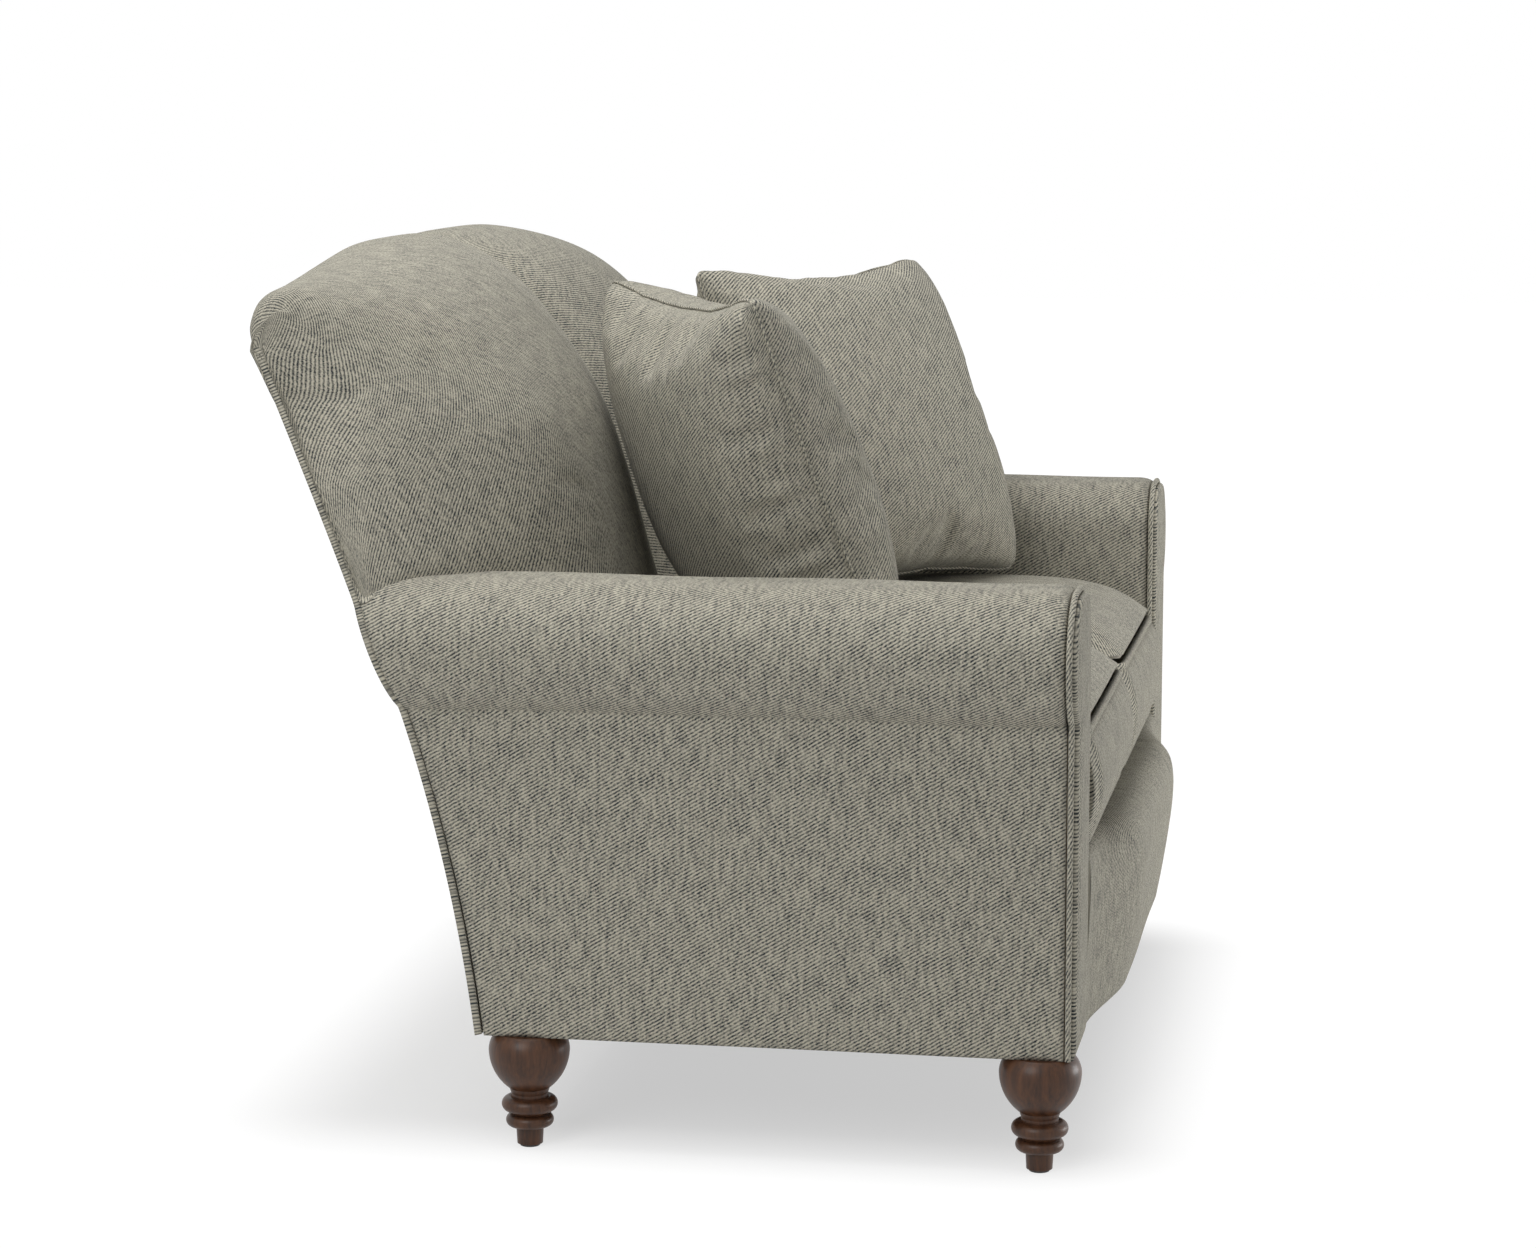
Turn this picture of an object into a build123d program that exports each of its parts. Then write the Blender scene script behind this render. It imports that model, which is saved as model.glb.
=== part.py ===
from build123d import *
import os
from math import atan2, cos, pi, radians, sin, sqrt, tan

# A two-seat sofa with rolled arms, a split camel back, two loose seat cushions and two throw pillows.
# Millimetres. X runs across, -Y is the front, Z is up from the floor.

# Driving dimensions of the arms
seat_clear_width = 924.0  # between the inside faces of the arms
arm_thickness = 135.0
arm_height = 622.0
roll_radius = 75.0
roll_overhang = 35.0  # how far the roll stands past the outside arm panel
shoulder_radius = 57.0  # inside top edge of the arm
inside_arm_padding = 20.0
arm_top_padding = 44.0
outside_panel_thickness = 12.0
facing_thickness = 12.5
arm_front_y = -432.5  # front face of the arm facings
arm_welt_radius = 4.0

# Legs and their fixings
leg_height = 127.0
leg_inset_x = 29.0  # leg axis in from the outside arm panel
front_leg_inset_y = 40.0  # leg axis back from the arm facing
rear_leg_inset_y = 53.0  # leg axis in from the foot of the back
leg_shoulder_radius = 36.0
leg_bulb_radius = 44.0
leg_neck_radius = 20.0
leg_ring_radius = 30.5
leg_bead_radius = 26.0
leg_ankle_radius = 15.0
leg_ankle_taper = 1.0  # how much the ankle narrows to the glide
leg_step = 2.0  # how far the bead and ring start outside what is below them
leg_bead_low = 22.0
leg_bead_middle = 29.0
leg_bead_high = 36.0
leg_ring_low = 39.0
leg_ring_middle = 47.0
leg_ring_high = 55.0
leg_neck_low = 59.0
leg_neck_high = 65.0
leg_bulb_height = 107.0
leg_bulb_swell = 5.0  # how far the bulb's sides stand outside a straight line
leg_bulb_sag = 4.0
leg_shoulder_swell = 2.0
leg_shoulder_rise = 1.0
glide_radius = 11.0
glide_thickness = 3.0
glide_rounding = 0.8
bolt_radius = 4.0
bolt_length = 98.0
bolt_depth_in_leg = 55.0
bolt_clearance = 0.1
tee_nut_barrel_radius = 6.0
tee_nut_flange_radius = 11.0
tee_nut_flange_thickness = 1.5

# Frame
rail_thickness = 30.0
post_thickness = 25.0
side_rail_top = 297.0
seat_rail_top = 277.0
rear_rail_gap = 1.5  # between the rear seat rail and the outside back
leg_block_height = 50.0
front_block_length = 90.0
rear_block_length = 105.0
arm_rail_width = 78.0
arm_rail_height = 28.0
stretcher_width = 40.0
stretcher_height = 80.0
stretcher_drop = 17.0  # stretcher top below the seat rails
dowel_radius = 5.0
dowel_length = 40.0
dowel_spacing = 60.0
screw_radius = 2.5
screw_length = 62.0
screw_head_radius = 5.0
screw_head_height = 3.0
screw_spacing = 32.0

# Back
foot_depth = 649.0  # arm facing to the foot of the outside back
back_sweep_depth = 123.5  # foot of the outside back to where it turns straight, level
bend_height = 595.0
back_rake = 22.8  # degrees from upright
back_panel_thickness = 8.7  # measured level
back_shoulder_drop = 27.0  # where the outside back leaves the roll, below the top of the arm
back_panel_end_drop = 109.0  # top of the outside back below the crest of the pads, at its ends
back_panel_middle_drop = 59.0
frame_depth = 65.0  # back posts, measured level
back_post_drop = 89.0  # below the crest of the pads
crest_rail_end_drop = 86.0
crest_rail_middle_drop = 48.0
crest_rail_height = 80.0
lower_rail_bottom = 340.0
lower_rail_height = 80.0
centre_post_width = 44.0
strap_width = 50.0
strap_thickness = 2.5
strap_spacing = 112.0
straps_each_side = 4

# Inside back pads
pad_foot_gap = 136.5  # front of the pads at the seat, ahead of the foot of the outside back
pad_seat_height = 505.0
pad_recline = 0.285  # level run for each unit of rise on the front face
pad_round_drop = 239.0  # where the front face starts to round over, below the crest
pad_swell_forward = 42.0  # how far the rounding stands outside a straight line
pad_swell_rise = 20.0
pad_crest_run = 308.0  # front of the pads at the seat to the crest, level
pad_crest_height = 974.0
pad_crest_drop = 50.0  # how much lower the crest is at the outer ends
pad_crest_fall_run = 302.0  # how far in from the outer end it starts to fall
pad_tail_run = 58.0  # crest to the middle of the rounding behind it
pad_tail_dip = 21.0
pad_tail_drop = 74.0  # where the top meets the outside back, below the crest
pad_valley_depth = 84.0  # how far the pads draw back at the centre seam
pad_valley_width = 130.0
pad_valley_middle = 50.0
pad_valley_middle_depth = 38.0
pad_valley_end_depth = 14.0
pad_side_turn_inset = 8.0  # where the slanted side starts, outside the inside face of the arm
pad_side_turn_width = 70.0
pad_side_turn_start = 6.0
pad_side_turn_middle = 42.0
pad_side_turn_middle_depth = 21.0
pad_side_turn_depth = 52.0
pad_side_slope = 1.24  # depth for each unit across on the slanted side
pad_outer_overhang = 7.0  # outer edge just above the arm, past the outside arm panel
pad_top_inset = 45.0  # outer edge at the top, in from the outside arm panel
pad_ledge_drop = 30.0  # where the pads tuck behind the roll, below the top of the arm
pad_trim = 36.0  # past the outer edge, for trimming
pad_station_shares = (0.0, 0.21875, 0.4375, 0.65625, 0.84375, 1.0)  # loft sections from the centre out
pad_clearance = 0.4

# Seat
seat_deck_height = 326.0
apron_end_bulge = 14.5  # past the arm facing, beside the arms
apron_middle_bulge = 37.0
apron_bottom_bow = 24.0
apron_end_top = 297.0
apron_middle_top = 320.0
apron_swell_share = 0.62  # height of the fullest line, of the apron's own height
apron_quarter_share = 0.55  # place of the sections between the ends and the middle
apron_quarter_size = 0.8
spring_wire_radius = 2.0
springs_each_side = 4
spring_spacing = 105.0
spring_half_width = 25.0
spring_runs = 27
clip_width = 16.0
clip_length = 10.0
clip_height = 7.5
tie_wire_radius = 1.5
tie_wire_places = (0.35, 0.7)  # along the springs
dust_cover_thickness = 1.5

# Seat cushions
cushion_gap = 1.0  # between the two cushions
cushion_side_clearance = 0.8
cushion_welt_radius = 5.0
cushion_welt_y = -426.0
cushion_top_welt_height = 452.0
cushion_crown = 58.0  # middle of the top above the top welt
cushion_front_bulge = 25.0
cushion_corner_radius = 28.0
cushion_draw_depth = 2.5  # how far the sides pull in between the corners
cushion_side_inset = 1.0  # swollen sides, in from the room they have
cushion_crown_reach = (150.0, 140.0, 190.0)  # how far the dome runs in from the sides, front and back
cushion_wall_thickness = 3.0
cushion_lift_clearance = 0.3
zip_length = 380.0
zip_width = 12.0
zip_thickness = 2.0

# Throw pillows
pillow_width = 457.0
pillow_thickness = 185.0
pillow_draw_depth = 15.0  # how far each side pulls in between the corners
pillow_edge_thickness = 5.0
pillow_fullness = 0.75  # lower is fuller towards the seams
pillow_wall_thickness = 2.5
pillow_rest_gap = 5.0  # lower edge above the cushions' cap, which the dome passes by nearly as much
left_pillow_offset = -232.0
left_pillow_gap = 171.0  # lower edge ahead of the pads
left_pillow_turn = 33.0
left_pillow_lean = 22.0
right_pillow_offset = 225.0
right_pillow_gap = 220.0
right_pillow_turn = -30.4
right_pillow_lean = 23.0

soft_clearance = 0.3

# Places worked out from the sizes above
arm_inner = seat_clear_width / 2
arm_outer = arm_inner + arm_thickness
roll_x = arm_outer + roll_overhang - roll_radius
roll_z = arm_height - roll_radius
shoulder_x = arm_inner + shoulder_radius
shoulder_z = arm_height - shoulder_radius
cavity_inner = arm_inner + inside_arm_padding
cavity_outer = arm_outer - outside_panel_thickness
cavity_top = arm_height - arm_top_padding
cover_front = arm_front_y + facing_thickness
foot_y = arm_front_y + foot_depth
bend_y = foot_y + back_sweep_depth
rake_run = tan(radians(back_rake))
frame_setback = back_panel_thickness + frame_depth
rail_bottom = leg_height + dust_cover_thickness
block_inner = cavity_inner + rail_thickness
leg_x = arm_outer - leg_inset_x
leg_y = (arm_front_y + front_leg_inset_y, foot_y - rear_leg_inset_y)
rear_rail_back = foot_y - back_panel_thickness - rear_rail_gap
rear_rail_front = rear_rail_back - rail_thickness
front_rail_back = cover_front + rail_thickness
front_block = (cover_front, cover_front + front_block_length)
rear_block = (rear_rail_back - rear_block_length, rear_rail_back)
deck_bottom = seat_rail_top + clip_height
spring_z = seat_rail_top + clip_height / 2
back_panel_top_end = pad_crest_height - back_panel_end_drop
back_panel_top_middle = pad_crest_height - back_panel_middle_drop
back_post_top = pad_crest_height - back_post_drop
crest_top_end = pad_crest_height - crest_rail_end_drop
crest_top_middle = pad_crest_height - crest_rail_middle_drop
pad_round_height = pad_crest_height - pad_round_drop
pad_seat_y = foot_y - pad_foot_gap
pad_crest_y = pad_seat_y + pad_crest_run
pad_side_turn_x = arm_inner + pad_side_turn_inset
pad_outer_bottom_x = arm_outer + pad_outer_overhang
pad_outer_top_x = arm_outer - pad_top_inset
pillow_rest_height = cushion_top_welt_height + cushion_crown + pillow_rest_gap
far_reach = 900.0  # past every face of the sofa, for trimming


def level_box(x, y, z):
    """A box from three (low, high) pairs."""
    size = [high - low for low, high in (x, y, z)]
    middle = [(high + low) / 2 for low, high in (x, y, z)]
    return Pos(*middle) * Box(*size)


def rod(start, axis, radius, length):
    """A round rod from a start point along X or Z."""
    plane = Plane(start, z_dir=axis)
    return extrude(plane * Circle(radius), amount=length)


def front_prism(edges, y_from, y_to):
    """A front view in X and Z, carried from y_from back to y_to."""
    plane = Plane((0, y_to, 0), x_dir=(1, 0, 0), z_dir=(0, -1, 0))
    return extrude(plane * make_face(edges), amount=y_to - y_from)


def side_prism(edges, x_from, x_to):
    """A side view in Y and Z, carried across from x_from to x_to."""
    return extrude(Plane.YZ.offset(x_from) * make_face(edges), amount=x_to - x_from)


def closed_lines(*points):
    return Polyline(*points, close=True)


def other_side(shape):
    return mirror(shape, about=Plane.YZ)


def both_sides(shape):
    return [shape, other_side(shape)]


def one_solid(shape):
    """The largest solid of a cut, which leaves out slivers."""
    return shape.solids().sort_by(SortBy.VOLUME)[-1]


def save(name, *shapes):
    solids = [solid for shape in shapes for solid in shape.solids()]
    export_step(solids[0] if len(solids) == 1 else Compound(children=solids), f"parts/{name}.step")
    return solids


# Outlines that several pieces share

def crease_height(grow):
    """Where the underside of the roll meets the outside arm panel."""
    run = arm_outer + grow - roll_x
    return roll_z - sqrt((roll_radius + grow) ** 2 - run ** 2)


def arm_top_edges(grow):
    """The inside face's top, shoulder and roll of the right arm, grown by a clearance."""
    shoulder = shoulder_radius + grow
    roll = roll_radius + grow
    top = arm_height + grow
    inner = (shoulder_x - shoulder, shoulder_z)
    half = sqrt(0.5)
    via = (shoulder_x - shoulder * half, shoulder_z + shoulder * half)
    end = (arm_outer + grow, crease_height(grow))
    return [
        ThreePointArc(inner, via, (shoulder_x, top)),
        Line((shoulder_x, top), (roll_x, top)),
        ThreePointArc((roll_x, top), (roll_x + roll, roll_z), end),
    ]


def arm_front_edges(grow):
    """The whole front view of the right arm down to the underside."""
    inner = arm_inner - grow
    outer = arm_outer + grow
    crease = crease_height(grow)
    low = leg_height - min(grow, 0)
    sides = [
        Line((inner, low), (inner, shoulder_z)),
        Line((outer, crease), (outer, low)),
        Line((outer, low), (inner, low)),
    ]
    return sides[:1] + arm_top_edges(grow) + sides[1:]


def rear_edges(setback, top):
    """The outside back in side view, moved level towards the front: an arc, then a straight rake."""
    foot = (foot_y - setback, leg_height)
    bend = (bend_y - setback, bend_height)
    chord = atan2(back_sweep_depth, bend_height - leg_height)
    start = 2 * chord - radians(back_rake)
    end = (rear_line_y(top, setback), top)
    return [TangentArc(foot, bend, tangent=(sin(start), cos(start))), Line(bend, end)]


def rear_line_y(z, setback):
    return bend_y - setback + (z - bend_height) * rake_run


def frame_front_y(z):
    return rear_line_y(z, frame_setback)


def before_rear(setback):
    """All the room in front of the outside back, for trimming."""
    foot = (foot_y - setback, leg_height)
    top = (rear_line_y(far_reach * 2, setback), far_reach * 2)
    edges = rear_edges(setback, far_reach * 2) + [
        Line(top, (-far_reach, far_reach * 2)),
        Line((-far_reach, far_reach * 2), (-far_reach, leg_height)),
        Line((-far_reach, leg_height), foot),
    ]
    return side_prism(edges, -far_reach, far_reach)


def raked_slab(front_gap, depth, x, z):
    """A slab that leans with the frame, from in front of its front plane to a level depth."""
    low, high = z
    front = [frame_front_y(height) - front_gap for height in z]
    outline = closed_lines(
        (front[0], low), (front[0] + depth, low), (front[1] + depth, high), (front[1], high)
    )
    return side_prism(outline, *x)


def crest_edges(end, middle, half_width, drop):
    """A board in front view with a bowed top and the same bow underneath."""
    top = ThreePointArc((-half_width, end), (0, middle), (half_width, end))
    bottom = ThreePointArc((-half_width, end - drop), (0, middle - drop), (half_width, end - drop))
    ends = [Line((side * half_width, end - drop), (side * half_width, end)) for side in (-1, 1)]
    return [top, bottom] + ends


# Legs, bolts, nuts and glides

def leg():
    """A turned leg with its axis on Z and its top at the underside of the frame."""
    foot = (leg_ankle_radius - leg_ankle_taper, glide_thickness)
    ankle = (leg_ankle_radius, leg_bead_low)
    bead = (leg_neck_radius - leg_step, leg_bead_low)
    bead_side = (leg_bead_radius, leg_bead_middle)
    bead_top = (leg_neck_radius, leg_bead_high)
    ring = (leg_neck_radius + leg_step, leg_ring_low)
    ring_side = (leg_ring_radius, leg_ring_middle)
    ring_top = (leg_neck_radius, leg_ring_high)
    neck = (leg_neck_radius, leg_neck_low)
    bulb_foot = (leg_neck_radius + leg_step, leg_neck_high)
    bulb_side = (
        (leg_neck_radius + leg_bulb_radius) / 2 + leg_bulb_swell,
        (leg_neck_high + leg_bulb_height) / 2 - leg_bulb_sag,
    )
    bulb = (leg_bulb_radius, leg_bulb_height)
    shoulder_side = (
        (leg_bulb_radius + leg_shoulder_radius) / 2 + leg_shoulder_swell,
        (leg_bulb_height + leg_height) / 2 + leg_shoulder_rise,
    )
    shoulder = (leg_shoulder_radius, leg_height)
    profile = [
        Line((0, glide_thickness), foot),
        Line(foot, ankle),
        Line(ankle, bead),
        ThreePointArc(bead, bead_side, bead_top),
        Line(bead_top, ring),
        ThreePointArc(ring, ring_side, ring_top),
        Line(ring_top, neck),
        Line(neck, bulb_foot),
        ThreePointArc(bulb_foot, bulb_side, bulb),
        ThreePointArc(bulb, shoulder_side, shoulder),
        Line(shoulder, (0, leg_height)),
        Line((0, leg_height), (0, glide_thickness)),
    ]
    turned = revolve(Plane.XZ * make_face(profile), axis=Axis.Z)
    start = leg_height - bolt_depth_in_leg - bolt_clearance
    return turned - rod((0, 0, start), (0, 0, 1), bolt_radius + bolt_clearance, far_reach)


def tee_nut_room():
    """The barrel and sunk flange of a tee nut, as one plug in the top of a leg block."""
    top = leg_height + leg_block_height
    barrel_low = (0, 0, leg_height + leg_block_height / 2)
    barrel = rod(barrel_low, (0, 0, 1), tee_nut_barrel_radius, leg_block_height / 2)
    flange_low = (0, 0, top - tee_nut_flange_thickness)
    return barrel + rod(flange_low, (0, 0, 1), tee_nut_flange_radius, tee_nut_flange_thickness)


def tee_nut():
    """A flanged nut pressed into the top of a leg block, on the bolt's axis."""
    bore = rod((0, 0, leg_height), (0, 0, 1), bolt_radius + bolt_clearance, far_reach)
    return tee_nut_room() - bore


def hanger_bolt():
    return rod((0, 0, leg_height - bolt_depth_in_leg), (0, 0, 1), bolt_radius, bolt_length)


def glide():
    disc = rod((0, 0, 0), (0, 0, 1), glide_radius, glide_thickness)
    return fillet(disc.edges().group_by(Axis.Z)[0], glide_rounding)


def at_leg(shape, side, row):
    return Pos(side * leg_x, leg_y[row], 0) * shape


# Frame pieces, with the holes for their dowels, screws and bolts

def joint_rods(radius, length):
    """Dowels that cross the ends of the two seat rails into the posts, on the right side."""
    rods = []
    middle = (seat_rail_top + leg_height + leg_block_height) / 2
    for y in (cover_front + post_thickness / 2, rear_rail_back - rail_thickness / 2):
        for z in (middle - dowel_spacing / 2, middle + dowel_spacing / 2):
            rods.append(rod((cavity_inner - length / 2, y, z), (1, 0, 0), radius, length))
    return rods


def screw_places():
    """Where screws pass through the side frame into the leg blocks, on the right side."""
    height = leg_height + leg_block_height / 2
    front_y = front_block[1] - screw_head_radius * 2
    rear_y = rear_block[0] + screw_head_radius * 2
    front = [(cavity_inner, front_y - step * screw_spacing, height) for step in (0, 1)]
    rear = [(cavity_inner, rear_y + step * screw_spacing, height) for step in (0, 1)]
    return front + rear


def screw(place):
    x, y, z = place
    head = rod((x - screw_head_height, y, z), (1, 0, 0), screw_head_radius, screw_head_height)
    return head + rod(place, (1, 0, 0), screw_radius, screw_length)


def screw_holes():
    return [rod(place, (1, 0, 0), screw_radius, screw_length) for place in screw_places()]


def leg_blocks():
    """Right-hand front and rear blocks that take the legs' bolts."""
    height = (leg_height, leg_height + leg_block_height)
    blocks = []
    for row, length in enumerate((front_block, rear_block)):
        block = level_box((block_inner, cavity_outer), length, height)
        bore = rod((0, 0, leg_height), (0, 0, 1), bolt_radius + bolt_clearance, far_reach)
        block = block - at_leg(bore, 1, row) - at_leg(tee_nut_room(), 1, row)
        blocks.append(block - screw_holes())
    return blocks


def side_rail():
    length = (cover_front + post_thickness, far_reach)
    rail = level_box((cavity_inner, block_inner), length, (rail_bottom, side_rail_top))
    behind = raked_slab(0, far_reach, (0, far_reach), (0, far_reach))
    return rail - behind - screw_holes()


def seat_rail(front, back):
    """A rail across the seat with dowel holes in both ends."""
    rail = level_box((-cavity_inner, cavity_inner), (front, back), (rail_bottom, seat_rail_top))
    holes = joint_rods(dowel_radius, dowel_length)
    return rail - holes - [other_side(hole) for hole in holes]


def front_rail():
    return seat_rail(cover_front, front_rail_back)


def rear_rail():
    return seat_rail(rear_rail_front, rear_rail_back)


def stretcher():
    top = seat_rail_top - stretcher_drop
    return level_box(
        (-stretcher_width / 2, stretcher_width / 2),
        (front_rail_back, rear_rail_front),
        (top - stretcher_height, top),
    )


def arm_post():
    post = level_box(
        (cavity_inner, cavity_outer),
        (cover_front, cover_front + post_thickness),
        (leg_height + leg_block_height, cavity_top),
    )
    return post - joint_rods(dowel_radius, dowel_length)


def arm_rail():
    rail = level_box(
        (cavity_inner, cavity_inner + arm_rail_width),
        (cover_front + post_thickness, far_reach),
        (cavity_top - arm_rail_height, cavity_top),
    )
    return rail - raked_slab(0, far_reach, (0, far_reach), (0, far_reach))


def back_post_blank(gap):
    """The right back post: a straight raked front edge and a rear edge that follows the outside back."""
    width = (cavity_inner - gap, block_inner + gap)
    slab = raked_slab(gap, far_reach, width, (rail_bottom, back_post_top + gap))
    return slab & before_rear(back_panel_thickness)


def back_post():
    return back_post_blank(0) - joint_rods(dowel_radius, dowel_length) - screw_holes()


def crest_rail():
    outline = crest_edges(crest_top_end, crest_top_middle, cavity_inner, crest_rail_height)
    slab = raked_slab(0, rail_thickness, (-far_reach, far_reach), (0, far_reach * 2))
    return front_prism(outline, -far_reach, far_reach) & slab


def lower_back_rail():
    height = (lower_rail_bottom, lower_rail_bottom + lower_rail_height)
    return raked_slab(0, rail_thickness, (-cavity_inner, cavity_inner), height)


def centre_post():
    half = centre_post_width / 2
    height = (lower_rail_bottom + lower_rail_height, crest_top_middle)
    end, middle = (top + far_reach for top in (crest_top_end, crest_top_middle))
    above = crest_edges(end, middle, cavity_inner, crest_rail_height + far_reach)
    return raked_slab(0, rail_thickness, (-half, half), height) - front_prism(above, -far_reach, far_reach)


def back_straps():
    """Vertical webbing on the front of the lower rail and the crest rail."""
    height = (lower_rail_bottom + lower_rail_height / 3, crest_top_end - crest_rail_height / 3)
    straps = []
    for place in range(straps_each_side):
        middle = strap_spacing * (place + 0.5)
        x = (middle - strap_width / 2, middle + strap_width / 2)
        straps += both_sides(raked_slab(strap_thickness, strap_thickness, x, height))
    return straps


# Seat suspension

def spring_lines():
    """The lines in Y that hold the first and last runs of each spring."""
    return (cover_front + rail_thickness / 2, rear_rail_front + rail_thickness / 2)


def spring():
    """A sinuous spring along Y: level runs across, joined by half turns."""
    first, last = spring_lines()
    pitch = (last - first) / (spring_runs - 1)
    turn = pitch / 2
    half = spring_half_width - turn
    path = []
    for run in range(spring_runs):
        side = 1 if run % 2 == 0 else -1
        y = first + run * pitch
        path.append(Line((-side * half, y, spring_z), (side * half, y, spring_z)))
        if run < spring_runs - 1:
            via = (side * (half + turn), y + turn, spring_z)
            path.append(ThreePointArc((side * half, y, spring_z), via, (side * half, y + pitch, spring_z)))
    section = Plane((-half, first, spring_z), z_dir=(1, 0, 0)) * Circle(spring_wire_radius)
    return sweep(section, path=Wire(path))


def spring_places():
    right = [spring_spacing * (place + 0.5) + stretcher_width / 2 for place in range(springs_each_side)]
    return [side * x for x in right for side in (-1, 1)]


def spring_clip(y):
    """A clip on a seat rail that wraps the end run of one spring."""
    body = level_box(
        (-clip_width / 2, clip_width / 2),
        (y - clip_length / 2, y + clip_length / 2),
        (seat_rail_top, deck_bottom),
    )
    wire_room = spring_wire_radius + bolt_clearance
    return body - rod((-far_reach / 2, y, spring_z), (1, 0, 0), wire_room, far_reach)


def tie_wires():
    first, last = spring_lines()
    z = spring_z - spring_wire_radius - tie_wire_radius - soft_clearance
    starts = [(-cavity_inner, first + share * (last - first), z) for share in tie_wire_places]
    return [rod(start, (1, 0, 0), tie_wire_radius, 2 * cavity_inner) for start in starts]


def seat_deck():
    half = arm_inner - soft_clearance
    length = (cover_front + soft_clearance, rear_rail_back)
    return level_box((-half, half), length, (deck_bottom, seat_deck_height))


def dust_cover():
    sheet = level_box((-cavity_outer, cavity_outer), (cover_front, rear_rail_back), (leg_height, rail_bottom))
    for side in (-1, 1):
        for length in (front_block, rear_block):
            x = sorted((side * block_inner, side * far_reach))
            sheet -= level_box(x, length, (0, far_reach))
    return sheet


# Fixed upholstery

def apron_section(x, bulge, bow, top):
    """The apron in side view: its back on the front rail, its face a single swell."""
    low = leg_height
    back = cover_front
    foot = (arm_front_y + facing_thickness / 3 - bow, low)
    crest = (back - soft_clearance, top)
    swell = (arm_front_y - bulge, low + (top - low) * apron_swell_share)
    edges = [
        Line((back, low), foot),
        ThreePointArc(foot, swell, crest),
        Line(crest, (back, top)),
        Line((back, top), (back, low)),
    ]
    return Plane.YZ.offset(x) * make_face(edges)


def apron():
    half = arm_inner - soft_clearance
    quarter = half * apron_quarter_share
    end_size = (apron_end_bulge, 0.0, apron_end_top)
    middle_size = (apron_middle_bulge, apron_bottom_bow, apron_middle_top)
    between = [end + (middle - end) * apron_quarter_size for end, middle in zip(end_size, middle_size)]
    places = (-half, -quarter, 0, quarter, half)
    sizes = (end_size, between, middle_size, between, end_size)
    return loft([apron_section(x, *size) for x, size in zip(places, sizes)])


def arm_cover():
    """Inside arm, shoulder and roll over the right arm's frame."""
    crease = crease_height(0)
    low = deck_bottom
    edges = arm_top_edges(0) + [
        Line((arm_outer, crease), (cavity_outer, crease)),
        Line((cavity_outer, crease), (cavity_outer, cavity_top)),
        Line((cavity_outer, cavity_top), (cavity_inner, cavity_top)),
        Line((cavity_inner, cavity_top), (cavity_inner, low)),
        Line((cavity_inner, low), (arm_inner, low)),
        Line((arm_inner, low), (arm_inner, shoulder_z)),
    ]
    cover = front_prism(edges, cover_front, far_reach) & before_rear(back_panel_thickness)
    cover -= raked_slab(0, far_reach, (0, cavity_inner), (0, lower_rail_bottom + lower_rail_height))
    return one_solid(cover - back_post_blank(soft_clearance))


def outside_arm_panel():
    panel = level_box((cavity_outer, arm_outer), (cover_front, far_reach), (leg_height, crease_height(0)))
    return panel & before_rear(back_panel_thickness)


def facing():
    inset = 2 * arm_welt_radius + 2 * soft_clearance
    return front_prism(arm_front_edges(-inset), arm_front_y, cover_front)


def facing_welt():
    """Piping round the facing, open along the underside."""
    inset = arm_welt_radius + soft_clearance
    face = make_face(arm_front_edges(-inset))
    crease = face.vertices().sort_by_distance((arm_outer, crease_height(0)))[0]
    rounded = fillet(crease, 3 * arm_welt_radius)
    low = rounded.edges().sort_by(Axis.Y)[0]
    path = Wire([edge for edge in rounded.edges() if edge.center() != low.center()])
    y = cover_front - arm_welt_radius - soft_clearance
    plane = Plane((0, y, 0), x_dir=(1, 0, 0), z_dir=(0, -1, 0))
    path = plane * path
    start = path @ 0
    return sweep(Plane(start, z_dir=path % 0) * Circle(arm_welt_radius), path=path)


def outside_back_outline(grow):
    """The outside back in front view, which also closes the ends of the arm rolls."""
    roll = roll_radius + grow
    outer = arm_outer + grow
    crease = (outer, crease_height(grow))
    leave = arm_height - back_shoulder_drop
    shoulder = (roll_x + sqrt(roll ** 2 - (leave - roll_z) ** 2), leave)
    corner = (pad_outer_top_x + grow, back_panel_top_end + grow)
    right = [
        Line((outer, leg_height), crease),
        ThreePointArc(crease, (roll_x + roll, roll_z), shoulder),
        Line(shoulder, corner),
    ]
    left = [other_side(edge) for edge in right]
    top = ThreePointArc((-corner[0], corner[1]), (0, back_panel_top_middle + grow), corner)
    low = Line((-outer, leg_height), (outer, leg_height))
    return front_prism(right + left + [top, low], -far_reach, far_reach)


def outside_back():
    """A thin panel that follows the rear curve."""
    return outside_back_outline(0) & before_rear(0) - before_rear(back_panel_thickness)


def pad_crest(x):
    """Crest height across the back: level in the middle, falling to the outer ends."""
    fall = max(abs(x) - pad_outer_top_x + pad_crest_fall_run, 0.0) / pad_crest_fall_run
    return pad_crest_height - pad_crest_drop * fall ** 2


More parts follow.
